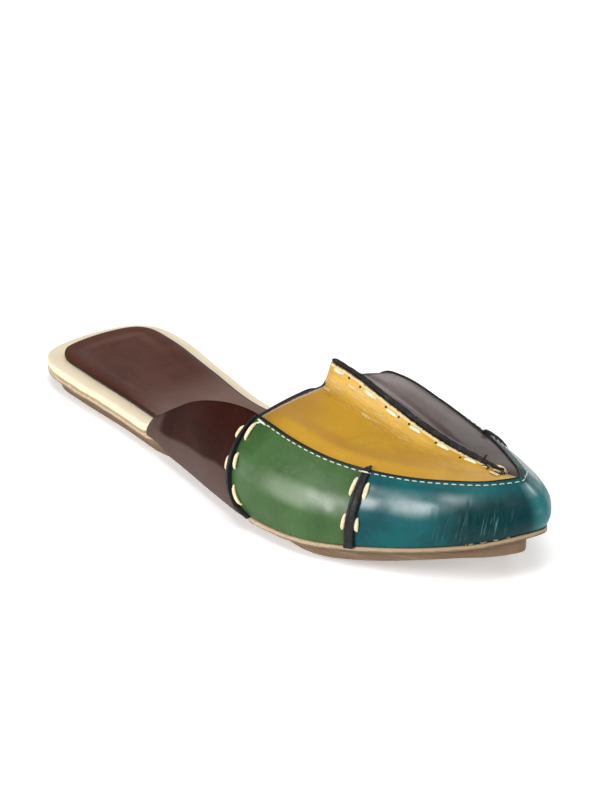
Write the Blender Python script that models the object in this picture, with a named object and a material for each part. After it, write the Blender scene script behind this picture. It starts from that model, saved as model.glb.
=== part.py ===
"""Flat pointed mule, right shoe, made of a sole, a wrapped board, a sock and one hollow leather upper.

The plan outline, the wall heights and the ridge are short tables with a row per section.
Every piece is a loft through sections worked out from them. Sizes are in millimetres:
x runs from the heel back to the toe tip, y to the inner side of the foot, z up from the floor.
"""
import bisect
import math

import bmesh
import bpy
from mathutils import Vector

MM = 0.001
NAME = "flat_mule"

# Main sizes of the last
LENGTH = 262.0
BALL_WIDTH = 81.0
TOE_SPRING = 13.5
SPRING_START = 0.66
TIP_SIDE = 0.166
HEEL_STACK = 11.2

# Layers and clearances
GAP = 0.3
WALL = 2.2
LAP_STEP = 0.8
LIP_OUT = 0.5
BLOCK_INSET_HEEL = 3.7
BLOCK_INSET_BACK = 5.5
BLOCK_INSET_WAIST = 7.2
BLOCK_INSET_FORE = 1.3
BLOCK_INSET_TOE = 10.5
WAIST_DROP = 2.0
SOCK_INSET = 5.6
SOCK_THICK = 2.2
HEEL_DISH = 0.9

# Plan outline: share of the length, outer and inner side as shares of the ball width
OUTLINE = (
    (0.015, 0.236, 0.275),
    (0.050, 0.312, 0.366),
    (0.120, 0.345, 0.366),
    (0.250, 0.375, 0.280),
    (0.400, 0.438, 0.204),
    (0.530, 0.513, 0.318),
    (0.640, 0.559, 0.434),
    (0.740, 0.524, 0.480),
    (0.840, 0.377, 0.443),
    (0.920, 0.222, 0.343),
    (0.970, 0.085, 0.264),
)

# Sole side: x, underside of the lip, top of the lip, both before toe spring
SOLE = (
    (0.0, 5.2, 7.2),
    (95.0, 5.2, 7.2),
    (122.0, 4.9, 6.9),
    (150.0, 4.3, 6.3),
    (175.0, 4.1, 6.1),
    (225.0, 4.2, 6.2),
    (262.0, 4.4, 6.4),
)
ARCH_BACK = 96.0
ARCH_FRONT = 150.0
ARCH_RISE = 1.6
TOE_THICKER = 1.2
TOE_THINNER = 0.9

# Wall of the upper along each side: x at the sole, inset of the top edge, height of the top edge, bulge
OUTER_WALL = (
    (86.0, 0.8, 11.6, 0.2),
    (88.5, 1.2, 15.0, 0.3),
    (95.0, 2.1, 19.9, 0.5),
    (104.0, 3.0, 25.8, 0.8),
    (114.0, 4.1, 32.0, 1.2),
    (124.0, 5.3, 36.5, 1.7),
    (134.0, 6.8, 39.7, 2.1),
    (144.0, 8.3, 41.8, 2.5),
    (154.0, 9.1, 43.0, 2.7),
    (164.0, 9.2, 42.9, 2.6),
    (178.0, 9.0, 41.4, 2.3),
    (192.0, 9.0, 39.6, 1.9),
    (204.0, 9.0, 37.9, 1.5),
    (216.0, 9.2, 36.5, 1.3),
    (228.0, 9.6, 36.2, 1.4),
    (240.0, 10.2, 36.6, 1.7),
    (252.0, 11.4, 37.0, 2.1),
    (262.0, 12.6, 36.8, 2.4),
)
INNER_WALL = (
    (107.0, 0.2, 10.8, 0.2),
    (110.0, 0.4, 13.6, 0.3),
    (120.0, 1.2, 19.0, 0.5),
    (130.0, 2.4, 25.0, 0.8),
    (140.0, 4.0, 31.0, 1.1),
    (150.0, 6.0, 38.2, 1.3),
    (158.0, 7.4, 44.2, 1.4),
    (166.0, 8.0, 44.6, 1.5),
    (186.0, 8.0, 40.0, 1.9),
    (200.0, 8.0, 37.4, 2.8),
    (214.0, 8.0, 36.0, 3.9),
    (228.0, 8.0, 35.6, 4.7),
    (242.0, 8.6, 36.3, 5.0),
    (254.0, 10.6, 36.9, 3.7),
    (262.0, 12.6, 36.8, 2.4),
)
OUTER_THROAT = 158.0
INNER_THROAT = 161.0
SHOULDER = 2.6

# Standing ridge on the middle line: share of the ridge from throat to toe, height of its foot, height of its top
RIDGE = (
    (0.00, 48.0, 57.2),
    (0.14, 46.4, 54.6),
    (0.29, 43.9, 50.3),
    (0.44, 41.2, 46.1),
    (0.59, 38.9, 42.4),
    (0.74, 37.3, 39.8),
    (0.88, 36.6, 38.2),
    (1.00, 36.3, 37.3),
)
RIDGE_BACK = (160.0, 0.0)
RIDGE_FRONT = (244.0, 12.6)
RIDGE_HALF = 1.6
RIDGE_FLARE = 5.0
RIDGE_EDGE_HIGH = 1.5
RIDGE_SHARE_POWER = 0.7
CROWN = 1.0

# Raised side seams: half width and height above the wall, and where they run
SEAM_HALF = 2.0
SEAM_HIGH = 2.5

COLOURS = {
    "tan_sole": (0.42, 0.28, 0.15, 1.0),
    "cream_wrap": (0.88, 0.82, 0.68, 1.0),
    "brown_sock": (0.11, 0.045, 0.03, 1.0),
    "upper_leather": (0.07, 0.14, 0.05, 1.0),
    "black_edge": (0.015, 0.013, 0.012, 1.0),
}


def smooth_table(keys, values, at):
    """Smooth curve through a short table, held flat beyond its ends."""
    at = min(max(at, keys[0]), keys[-1])
    i = min(max(bisect.bisect_right(keys, at) - 1, 0), len(keys) - 2)

    def rate(k):
        return (values[k + 1] - values[k]) / (keys[k + 1] - keys[k])

    def slope(k):
        if k == 0:
            return rate(0)
        if k == len(keys) - 1:
            return rate(k - 1)
        before = keys[k] - keys[k - 1]
        after = keys[k + 1] - keys[k]
        return (rate(k) * before + rate(k - 1) * after) / (before + after)

    span = keys[i + 1] - keys[i]
    t = (at - keys[i]) / span
    h = t * t * (3.0 - 2.0 * t)
    start = span * slope(i) * t * (1.0 - t) ** 2
    end = span * slope(i + 1) * t * t * (1.0 - t)
    return values[i] * (1.0 - h) + values[i + 1] * h + start - end


def column(table, index, at):
    return smooth_table([row[0] for row in table], [row[index] for row in table], at)


def ease(low, high, at):
    t = min(max((at - low) / (high - low), 0.0), 1.0)
    return t * t * (3.0 - 2.0 * t)


def between(low, full, fade, high, at):
    """Rises from low to full and falls from fade to high."""
    return ease(low, full, at) * (1.0 - ease(fade, high, at))


class Plan:
    """Closed outline of the last bottom: heel back, outer side, toe tip, inner side."""

    def __init__(self):
        outer = [(t * LENGTH, -a * BALL_WIDTH) for t, a, b in OUTLINE]
        inner = [(t * LENGTH, b * BALL_WIDTH) for t, a, b in OUTLINE]
        loop = [(0.0, 0.0)] + outer + [(LENGTH, TIP_SIDE * BALL_WIDTH)] + inner[::-1]
        count = len(loop)
        steps = [math.sqrt(math.dist(loop[k], loop[(k + 1) % count])) for k in range(count)]
        keys = [0.0]
        for step in steps:
            keys.append(keys[-1] + step)
        self.total = keys[-1]
        self.marks = keys[:len(outer) + 2]
        self.tip = self.marks[-1]
        self.keys = [keys[-4] - self.total, keys[-3] - self.total, keys[-2] - self.total] + keys
        self.keys += [self.total + keys[1], self.total + keys[2]]
        points = loop[-3:] + loop + loop[:3]
        self.xs = [p[0] for p in points]
        self.ys = [p[1] for p in points]

    def point(self, u):
        u = u % self.total
        return Vector((smooth_table(self.keys, self.xs, u), smooth_table(self.keys, self.ys, u)))

    def inward(self, u):
        along = self.point(u + 0.02) - self.point(u - 0.02)
        return Vector((-along.y, along.x)).normalized()

    def speed(self, u):
        return (self.point(u + 0.02) - self.point(u - 0.02)).length / 0.04

    def at(self, x, outer):
        """Place on the outer or inner side that has the given x."""
        low, high = 0.0, self.tip
        for _ in range(40):
            mid = 0.5 * (low + high)
            probe = mid if outer else self.total - mid
            if self.point(probe).x < x:
                low = mid
            else:
                high = mid
        return low if outer else self.total - low


PLAN = Plan()
U_OUTER = PLAN.at(OUTER_THROAT, True)
U_INNER = PLAN.at(INNER_THROAT, False)


def lift(x):
    share = max(0.0, (x / LENGTH - SPRING_START) / (1.0 - SPRING_START))
    return TOE_SPRING * share ** 2


def block_bottom(x):
    share = min(max((x - ARCH_BACK) / (ARCH_FRONT - ARCH_BACK), 0.0), 1.0)
    rise = ARCH_RISE * math.sin(math.pi * share) ** 2 + TOE_THINNER * between(212.0, 240.0, 244.0, 258.0, x)
    return rise + lift(x) - TOE_THICKER * ease(248.0, LENGTH, x)


def lip_under(x):
    return column(SOLE, 1, x) + lift(x)


def lip_top(x):
    return column(SOLE, 2, x) + lift(x)


def board_top(x):
    return lip_top(x) + HEEL_STACK - SOLE[0][2]


def wall_row(u, index):
    x = PLAN.point(u).x
    return column(OUTER_WALL if u <= PLAN.tip else INNER_WALL, index, x)


def ridge_share(u):
    """Share of the ridge, from throat to toe, that a place on the outline faces."""
    back = U_OUTER if u <= PLAN.tip else U_INNER
    share = (u - back) / (PLAN.tip - back)
    return min(max(share, 0.0), 1.0) ** RIDGE_SHARE_POWER


def facing(w, outer):
    """Place on the outer or inner side of the outline that faces a share of the ridge."""
    back = U_OUTER if outer else U_INNER
    return back + (PLAN.tip - back) * w ** (1.0 / RIDGE_SHARE_POWER)


def ridge_plan(w):
    return Vector(RIDGE_BACK).lerp(Vector(RIDGE_FRONT), w)


def ridge_half(w):
    return RIDGE_HALF * (1.0 - ease(0.94, 1.0, w))


def wall_foot(u, x):
    """Lower edge of the wall: on the lip, but down over its side along the outer waist."""
    drop = WAIST_DROP * between(92.0, 104.0, 158.0, 164.5, x) if u <= PLAN.tip else 0.0
    return lip_top(x) + GAP - drop


def wall_point(u, v):
    """Wall-level surface for v from 0 at the sole to 1 at the top edge."""
    foot = PLAN.point(u)
    inset = wall_row(u, 1) * v ** SHOULDER - 4.0 * wall_row(u, 3) * v * (1.0 - v)
    w = ridge_share(u)
    to_ridge = (ridge_plan(w) - foot).normalized()
    inward = PLAN.inward(u).lerp(to_ridge, ease(0.5, 0.9, w)).normalized()
    spot = foot + inward * inset
    low = wall_foot(u, foot.x)
    return Vector((spot.x, spot.y, low + (wall_row(u, 2) - low) * v))


def base_point(u, v):
    """Wall-level surface from the sole (0) over the top edge of the wall (1) to the ridge line (2)."""
    if v <= 1.0:
        return wall_point(u, max(v, 0.0))
    t = min(v - 1.0, 1.0)
    edge = wall_point(u, 1.0)
    w = ridge_share(u)
    spot = edge.xy.lerp(ridge_plan(w), t)
    foot = column(RIDGE, 1, w)
    crown = CROWN * (1.0 - w) * math.sin(math.pi * t)
    return Vector((spot.x, spot.y, edge.z + (foot - edge.z) * t + crown))


def base_normal(u, v):
    """Outward normal of the wall, turning upright over the lap because the top panels lie nearly flat."""
    level = min(v, 1.0)
    along = wall_point(u + 0.06, level) - wall_point(u - 0.06, level)
    up = wall_point(u, min(level + 0.06, 1.0)) - wall_point(u, max(level - 0.06, 0.0))
    normal = along.cross(up).normalized()
    return normal.lerp(Vector((0.0, 0.0, 1.0)), ease(0.8, 1.3, v)).normalized()


def skin_point(u, v, depth):
    """Place at a depth along the normal from the wall-level surface, outwards if positive."""
    return base_point(u, v) + base_normal(u, v) * depth


def top_panel_point(u, share):
    """Outside of a top panel: share 0 at the lap, 1 at the side of the standing ridge, where it turns up."""
    w = ridge_share(u)
    edge = wall_point(u, 1.0).xy
    middle = ridge_plan(w)
    reach = (edge - middle).length
    half = ridge_half(w)
    far = half + (reach - half) * (1.0 - share)
    v = 2.0 - far / reach
    turn = max(0.0, 1.0 - (far - half) / RIDGE_FLARE) ** 2
    top = column(RIDGE, 2, w) - RIDGE_EDGE_HIGH - GAP
    stand = max(0.0, top - (column(RIDGE, 1, w) - LAP_STEP))
    return skin_point(u, v, -LAP_STEP) + Vector((0.0, 0.0, stand * turn))


def new_object(name, material, bm, home):
    bmesh.ops.recalc_face_normals(bm, faces=bm.faces)
    bmesh.ops.scale(bm, vec=(MM, MM, MM), verts=bm.verts)
    mesh = bpy.data.meshes.new(name)
    bm.to_mesh(mesh)
    bm.free()
    made = bpy.data.objects.new(name, mesh)
    skin = bpy.data.materials.get(material)
    if skin is None:
        skin = bpy.data.materials.new(material)
        skin.use_nodes = True
        shader = skin.node_tree.nodes["Principled BSDF"]
        shader.inputs["Base Color"].default_value = COLOURS[material]
        shader.inputs["Roughness"].default_value = 0.5
    mesh.materials.append(skin)
    home.objects.link(made)
    return made


def loft(bm, sections, capped=True):
    """Closed sections with equal counts, joined in order and capped at both ends."""
    rings = [[bm.verts.new(p) for p in section] for section in sections]
    count = len(rings[0])
    for low, high in zip(rings, rings[1:]):
        for k in range(count):
            n = (k + 1) % count
            bm.faces.new((low[k], low[n], high[n], high[k]))
    if capped:
        bm.faces.new(rings[0])
        bm.faces.new(rings[-1])
    return rings


def ring_stations():
    """Places round the outline, paired across the foot by equal x."""
    outer = []
    for low, high in zip(PLAN.marks, PLAN.marks[1:]):
        outer += [low + (high - low) * k / 3.0 for k in range(3)]
    outer = outer[1:]
    for x in (OUTER_WALL[0][0], INNER_WALL[0][0], 165.0):
        outer += [PLAN.at(x - 3.0, True), PLAN.at(x - 0.8, True)]
    outer.sort()
    inner = [PLAN.at(PLAN.point(u).x, False) for u in outer]
    return outer, inner


def ring(inset, height):
    """Points of one level round the outline, as heel, outer side, tip and inner side."""
    outer, inner = ring_stations()
    places = [0.0] + outer + [PLAN.tip] + inner[::-1]
    points = []
    for u in places:
        foot = PLAN.point(u)
        spot = foot + PLAN.inward(u) * inset(u, foot.x)
        points.append(Vector((spot.x, spot.y, height(spot.x))))
    return points


def slab(name, material, levels, home):
    """Solid through levels round the outline, closed below and above by strips across the foot."""
    bm = bmesh.new()
    rings = loft(bm, [ring(inset, height) for inset, height in levels], capped=False)
    for level in (rings[0], rings[-1]):
        last = len(level)
        half = last // 2
        for k in range(half):
            across = [level[k], level[k + 1], level[(last - k - 1) % last], level[(last - k) % last]]
            bm.faces.new([v for i, v in enumerate(across) if v not in across[:i]])
    bmesh.ops.remove_doubles(bm, verts=bm.verts, dist=0.02)
    bmesh.ops.dissolve_degenerate(bm, dist=0.01, edges=bm.edges)
    return new_object(name, material, bm, home)


def block_inset(u, x):
    """The block stands in under the heel, more so at the waist, is near the edge at the ball and cut off at the toe."""
    fore = ease(170.0, 206.0, x)
    side = BLOCK_INSET_HEEL + (BLOCK_INSET_FORE - BLOCK_INSET_HEEL) * fore
    side += (BLOCK_INSET_BACK - BLOCK_INSET_HEEL) * (1.0 - ease(2.0, 22.0, x))
    side += (BLOCK_INSET_WAIST - BLOCK_INSET_HEEL) * ease(84.0, 106.0, x) * (1.0 - fore)
    past_tip = ease(-2.0, 0.0, u - PLAN.tip) * ease(215.0, 250.0, x)
    return side + (BLOCK_INSET_TOE - BLOCK_INSET_FORE) * past_tip


def lip_inset(u, x):
    """The lip stands out a little in front and is tucked in behind the wall along the outer waist."""
    out = -LIP_OUT * ease(120.0, 160.0, x)
    tucked = between(84.0, 92.0, 165.0, 171.0, x) if u <= PLAN.tip else 0.0
    return out + (WALL + 2.0 * GAP - out) * tucked


def board_inset(u, x):
    start = (OUTER_WALL if u <= PLAN.tip else INNER_WALL)[0][0]
    return (WALL + 2.0 * GAP) * ease(start - 3.2, start - 0.6, x)


def outsole(home):
    edge = 0.6
    levels = (
        (lambda u, x: block_inset(u, x) + edge, block_bottom),
        (block_inset, lambda x: block_bottom(x) + edge),
        (block_inset, lambda x: lip_under(x) - GAP),
    )
    return slab("outsole", "tan_sole", levels, home)


def sole_lip(home):
    edge = 0.5
    levels = (
        (lambda u, x: lip_inset(u, x) + edge, lip_under),
        (lip_inset, lambda x: lip_under(x) + edge),
        (lip_inset, lambda x: lip_top(x) - edge),
        (lambda u, x: lip_inset(u, x) + edge, lip_top),
    )
    return slab("sole_lip", "tan_sole", levels, home)


def footbed_board(home):
    edge = 0.9
    levels = (
        (board_inset, lambda x: lip_top(x) + GAP),
        (board_inset, lambda x: board_top(x) - edge),
        (lambda u, x: board_inset(u, x) + 0.3 * edge, lambda x: board_top(x) - 0.3 * edge),
        (lambda u, x: board_inset(u, x) + edge, board_top),
    )
    return slab("footbed_board", "cream_wrap", levels, home)


def insole(home):
    def foot(x):
        return board_top(x) + GAP

    def dish(x):
        return HEEL_DISH * (1.0 - ease(70.0, 120.0, x))

    def dish_inset(u, x):
        return SOCK_INSET + 2.0 + 8.0 * (1.0 - ease(80.0, 150.0, x))

    levels = (
        (lambda u, x: SOCK_INSET, foot),
        (lambda u, x: SOCK_INSET, lambda x: foot(x) + 0.5 * SOCK_THICK),
        (lambda u, x: SOCK_INSET + 0.4, lambda x: foot(x) + 0.85 * SOCK_THICK),
        (lambda u, x: SOCK_INSET + 1.2, lambda x: foot(x) + SOCK_THICK),
        (dish_inset, lambda x: foot(x) + SOCK_THICK - dish(x)),
    )
    return slab("insole", "brown_sock", levels, home)


def upper(home):
    """Hollow wall: an outside with the lap step and the turned-up ridge, and an inside a wall below it."""
    rear_count, side_count, inner_rear_count = 12, 28, 9
    wall_rows = [k / 9.0 for k in range(10)]
    top_shares = (0.012, 0.2, 0.38, 0.55, 0.7, 0.82, 0.9, 0.96, 1.0)
    u_rear = PLAN.at(OUTER_WALL[0][0], True)
    u_inner_rear = PLAN.at(INNER_WALL[0][0], False)
    shares = [k / side_count for k in range(side_count + 1)]
    rear = [u_rear + (U_OUTER - u_rear) * k / rear_count for k in range(rear_count)]
    outer_side = [U_OUTER + (PLAN.tip - U_OUTER) * s for s in shares]
    inner_side = [U_INNER + (PLAN.tip - U_INNER) * s for s in shares]
    inner_rear = [u_inner_rear + (U_INNER - u_inner_rear) * k / inner_rear_count for k in range(inner_rear_count)]
    places = rear + outer_side + inner_side[-2::-1] + inner_rear[::-1]

    bm = bmesh.new()
    partner = {}

    def pair(outside, inside):
        out = bm.verts.new(outside)
        partner[out] = bm.verts.new(inside) if isinstance(inside, Vector) else inside
        return out

    columns = []
    for u in places:
        columns.append([pair(wall_point(u, v), skin_point(u, v, -WALL)) for v in wall_rows])

    tops = {}
    first, tip, last = rear_count, rear_count + side_count, rear_count + 2 * side_count
    for j in range(side_count, -1, -1):
        for index in sorted({first + j, last - j}):
            u = places[index]
            line = []
            for share in top_shares:
                inside = None
                if share == top_shares[-1]:
                    known = tops.get(first + j)
                    inside = partner[known[-1]] if known else skin_point(u, 2.0, -WALL)
                else:
                    inside = skin_point(u, 1.0 + share, -WALL)
                line.append(pair(top_panel_point(u, share), inside))
            tops[index] = line

    outside = []
    for a, b in zip(columns, columns[1:]):
        for low, high, low_next, high_next in zip(a, a[1:], b, b[1:]):
            outside.append((low, low_next, high_next, high))
    for index in range(first, last):
        a = [columns[index][-1]] + tops[index]
        b = [columns[index + 1][-1]] + tops[index + 1]
        for low, high, low_next, high_next in zip(a, a[1:], b, b[1:]):
            outside.append((low, low_next, high_next, high))
    for j in range(side_count):
        across = [tops[first + j][-1], tops[first + j + 1][-1], tops[last - j - 1][-1], tops[last - j][-1]]
        outside.append(tuple(v for i, v in enumerate(across) if v not in across[:i]))
    for corners in outside:
        bm.faces.new(corners)
        inner = [partner[v] for v in corners]
        inner = [v for i, v in enumerate(inner) if v not in inner[:i]]
        if len(inner) > 2:
            bm.faces.new(inner[::-1])
    rims = [e for e in bm.edges if e.is_boundary and e.verts[0] in partner and e.verts[1] in partner]
    for rim in rims:
        a, b = rim.verts
        corners = [a, b, partner[b], partner[a]]
        bm.faces.new([v for i, v in enumerate(corners) if v not in corners[:i]])
    return new_object("upper", "upper_leather", bm, home)


def ridge_edge(home):
    """Raw edge strip standing on the turned-up ridge."""
    count = 24
    along = (Vector(RIDGE_FRONT) - Vector(RIDGE_BACK)).normalized()
    across = Vector((-along.y, along.x))
    sections = []
    for k in range(count + 1):
        w = 0.97 * k / count
        middle = ridge_plan(w)
        half = 0.5 + 0.75 * ridge_half(w)
        low = GAP + max(top_panel_point(facing(w, outer), 1.0).z for outer in (True, False))
        top = low + RIDGE_EDGE_HIGH
        section = []
        for side, height in ((-1.0, low), (-1.0, top - 0.4), (-0.7, top), (0.7, top), (1.0, top - 0.4), (1.0, low)):
            spot = middle + across * half * side
            section.append(Vector((spot.x, spot.y, height)))
        sections.append(section)
    bm = bmesh.new()
    loft(bm, sections)
    return new_object("ridge_edge", "black_edge", bm, home)


def rear_seam(v):
    """Place of the rear seam along the sole for a height up the wall: it sweeps forward at both ends."""
    return 154.5 + 10.0 * (1.0 - v) ** 7 + 3.0 * v ** 6


def side_seam(name, outer, path, end, home):
    """Rounded strip that runs up the wall, a little above its surface, and ends just past the lap."""
    count = 12
    low, high = GAP, GAP + SEAM_HIGH
    shape = ((-1.0, low), (-1.0, 0.55 * high), (-0.6, 0.9 * high), (0.0, high), (0.6, 0.9 * high),
             (1.0, 0.55 * high), (1.0, low))
    sections = []
    levels = [0.02 + 0.98 * k / count for k in range(count + 1)]
    if end > 1.0:
        levels.append(end)
    for v in levels:
        u = PLAN.at(path(min(v, 1.0)), outer)
        section = []
        for side, depth in shape:
            beside = u + side * SEAM_HALF / PLAN.speed(u)
            section.append(skin_point(beside, v, depth))
        sections.append(section)
    bm = bmesh.new()
    loft(bm, sections)
    return new_object(name, "black_edge", bm, home)


def centre(made):
    """Move every piece so that the middle of the whole base is at the origin."""
    spots = [v.co for piece in made for v in piece.data.vertices]
    low = [min(p[k] for p in spots) for k in range(3)]
    high = [max(p[k] for p in spots) for k in range(3)]
    shift = Vector((0.5 * (low[0] + high[0]), 0.5 * (low[1] + high[1]), low[2]))
    for piece in made:
        for vertex in piece.data.vertices:
            vertex.co -= shift
        piece.data.update()


def main():
    for old in list(bpy.data.objects):
        bpy.data.objects.remove(old, do_unlink=True)
    home = bpy.data.collections.new(NAME)
    bpy.context.scene.collection.children.link(home)
    made = [
        outsole(home),
        sole_lip(home),
        footbed_board(home),
        insole(home),
        upper(home),
        ridge_edge(home),
        side_seam("side_seam_rear_lateral", True, rear_seam, 1.0, home),
        side_seam("side_seam_front_lateral", True, lambda v: 211.0 + 3.0 * v ** 1.6, 1.05, home),
        side_seam("side_seam_front_medial", False, lambda v: 211.0 + 3.0 * v * v, 1.09, home),
    ]
    centre(made)


main()
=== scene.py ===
"""Flat pointed mule, right shoe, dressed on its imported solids.

The leather panels, linings, seams, stitches and the layers of the sole are laid on the same last as the
solids: a plan outline, wall heights and a ridge in short tables. Sizes are in millimetres, x from the heel
back to the toe tip, y to the inner side of the foot, z up, until a piece is finished in metres in the frame
of the solids.
"""
import math

import bmesh
import bpy
import numpy as np
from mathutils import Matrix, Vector


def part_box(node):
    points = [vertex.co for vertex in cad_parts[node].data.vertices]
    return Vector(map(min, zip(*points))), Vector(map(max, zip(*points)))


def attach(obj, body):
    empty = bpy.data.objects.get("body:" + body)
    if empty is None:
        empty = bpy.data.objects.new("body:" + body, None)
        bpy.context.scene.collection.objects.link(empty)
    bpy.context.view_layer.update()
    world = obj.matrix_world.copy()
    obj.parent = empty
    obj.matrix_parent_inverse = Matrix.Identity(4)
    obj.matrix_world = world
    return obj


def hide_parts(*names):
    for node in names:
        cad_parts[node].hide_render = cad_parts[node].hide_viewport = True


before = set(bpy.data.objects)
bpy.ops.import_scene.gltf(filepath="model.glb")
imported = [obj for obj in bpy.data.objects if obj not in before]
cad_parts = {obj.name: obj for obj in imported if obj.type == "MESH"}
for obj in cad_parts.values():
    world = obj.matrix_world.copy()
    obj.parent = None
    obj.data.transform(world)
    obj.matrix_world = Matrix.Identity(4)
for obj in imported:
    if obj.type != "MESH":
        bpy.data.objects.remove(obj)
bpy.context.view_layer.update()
MM = 0.001

# Sizes of the last and its layers
LENGTH = 262.0
BALL_WIDTH = 81.0
TOE_SPRING = 13.5
SPRING_START = 0.66
TIP_SIDE = 0.166
HEEL_STACK = 11.2
GAP = 0.3
WALL = 2.2
LAP_STEP = 0.8
LEATHER = 0.75
TOP_LEATHER = 0.8
TOP_LINING = 0.7
WALL_LINING = 1.35
LINING_UNDER, LINING_BACK = 0.86, 2.7
LIP_OUT = 0.5
BLOCK_INSET_HEEL = 3.7
BLOCK_INSET_BACK = 5.5
BLOCK_INSET_WAIST = 7.2
BLOCK_INSET_FORE = 1.3
BLOCK_INSET_TOE = 10.5
WAIST_DROP = 2.0
SOCK_INSET = 5.6
SOCK_THICK = 2.2
HEEL_DISH = 0.9
ARCH_BACK, ARCH_FRONT, ARCH_RISE = 96.0, 150.0, 1.6
TOE_THICKER = 1.2
TOE_THINNER = 0.9
OUTER_THROAT, INNER_THROAT = 158.0, 161.0
SHOULDER = 2.6
RIDGE_BACK, RIDGE_FRONT = np.array((160.0, 0.0)), np.array((244.0, 12.6))
RIDGE_LONG = math.dist(RIDGE_BACK, RIDGE_FRONT)
RIDGE_HALF = 1.6
RIDGE_FLARE = 5.0
RIDGE_EDGE_HIGH = 1.5
RIDGE_SHARE_POWER = 0.7
CROWN = 1.0
WALL_HIGH = 31.0
PUCKER_DEPTH, PUCKER_HIGH, PUCKER_REACH = 0.5, 0.07, 4.0

# Plan outline: share of the length, outer and inner side as shares of the ball width
OUTLINE = np.array((
    (0.015, 0.236, 0.275), (0.050, 0.312, 0.366), (0.120, 0.345, 0.366), (0.250, 0.375, 0.280),
    (0.400, 0.438, 0.204), (0.530, 0.513, 0.318), (0.640, 0.559, 0.434), (0.740, 0.524, 0.480),
    (0.840, 0.377, 0.443), (0.920, 0.222, 0.343), (0.970, 0.085, 0.264)))
# Sole side: x, underside of the lip, top of the lip
SOLE = np.array((
    (0.0, 5.2, 7.2), (95.0, 5.2, 7.2), (122.0, 4.9, 6.9), (150.0, 4.3, 6.3), (175.0, 4.1, 6.1),
    (225.0, 4.2, 6.2), (262.0, 4.4, 6.4)))
# Wall of the upper: x, inset of the top edge, height of the top edge, bulge
OUTER_WALL = np.array((
    (86.0, 0.8, 11.6, 0.2), (88.5, 1.2, 15.0, 0.3), (95.0, 2.1, 19.9, 0.5), (104.0, 3.0, 25.8, 0.8),
    (114.0, 4.1, 32.0, 1.2), (124.0, 5.3, 36.5, 1.7), (134.0, 6.8, 39.7, 2.1), (144.0, 8.3, 41.8, 2.5),
    (154.0, 9.1, 43.0, 2.7), (164.0, 9.2, 42.9, 2.6), (178.0, 9.0, 41.4, 2.3), (192.0, 9.0, 39.6, 1.9),
    (204.0, 9.0, 37.9, 1.5), (216.0, 9.2, 36.5, 1.3), (228.0, 9.6, 36.2, 1.4), (240.0, 10.2, 36.6, 1.7),
    (252.0, 11.4, 37.0, 2.1), (262.0, 12.6, 36.8, 2.4)))
INNER_WALL = np.array((
    (107.0, 0.2, 10.8, 0.2), (110.0, 0.4, 13.6, 0.3), (120.0, 1.2, 19.0, 0.5), (130.0, 2.4, 25.0, 0.8),
    (140.0, 4.0, 31.0, 1.1), (150.0, 6.0, 38.2, 1.3), (158.0, 7.4, 44.2, 1.4), (166.0, 8.0, 44.6, 1.5),
    (186.0, 8.0, 40.0, 1.9), (200.0, 8.0, 37.4, 2.8), (214.0, 8.0, 36.0, 3.9), (228.0, 8.0, 35.6, 4.7),
    (242.0, 8.6, 36.3, 5.0), (254.0, 10.6, 36.9, 3.7), (262.0, 12.6, 36.8, 2.4)))
# Standing ridge: share from throat to toe, height of its foot, height of its top
RIDGE = np.array((
    (0.00, 48.0, 57.2), (0.14, 46.4, 54.6), (0.29, 43.9, 50.3), (0.44, 41.2, 46.1), (0.59, 38.9, 42.4),
    (0.74, 37.3, 39.8), (0.88, 36.6, 38.2), (1.00, 36.3, 37.3)))


def smooth(keys, values, at):
    """Smooth curve through a short table, held flat beyond its ends."""
    at = np.clip(at, keys[0], keys[-1])
    spans = np.diff(keys)
    rates = np.diff(values) / spans
    slopes = np.empty(len(keys))
    slopes[0], slopes[-1] = rates[0], rates[-1]
    slopes[1:-1] = (rates[1:] * spans[:-1] + rates[:-1] * spans[1:]) / (spans[:-1] + spans[1:])
    i = np.clip(np.searchsorted(keys, at, side="right") - 1, 0, len(keys) - 2)
    t = (at - keys[i]) / spans[i]
    h = t * t * (3.0 - 2.0 * t)
    bend = spans[i] * (slopes[i] * t * (1.0 - t) ** 2 - slopes[i + 1] * t * t * (1.0 - t))
    return values[i] * (1.0 - h) + values[i + 1] * h + bend


def column(table, index, at):
    return smooth(table[:, 0], table[:, index], at)


def ease(low, high, at):
    t = np.clip((np.asarray(at, float) - low) / (high - low), 0.0, 1.0)
    return t * t * (3.0 - 2.0 * t)


def hump(at, middle, width):
    return np.exp(-((at - middle) / width) ** 2)


def between(low, high, soft, at):
    """One between low and high, with soft ends."""
    return ease(low - soft, low + soft, at) * (1.0 - ease(high - soft, high + soft, at))


def span(low, full, fade, high, at):
    """Rises from low to full and falls from fade to high."""
    return ease(low, full, at) * (1.0 - ease(fade, high, at))


def unit(rays):
    return rays / np.maximum(np.linalg.norm(rays, axis=-1, keepdims=True), 1e-9)


def mixed(a, b, share):
    return a + (b - a) * np.asarray(share)[..., None]


def raised(flat, z):
    return np.concatenate([flat, np.asarray(z)[..., None]], axis=-1)


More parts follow.
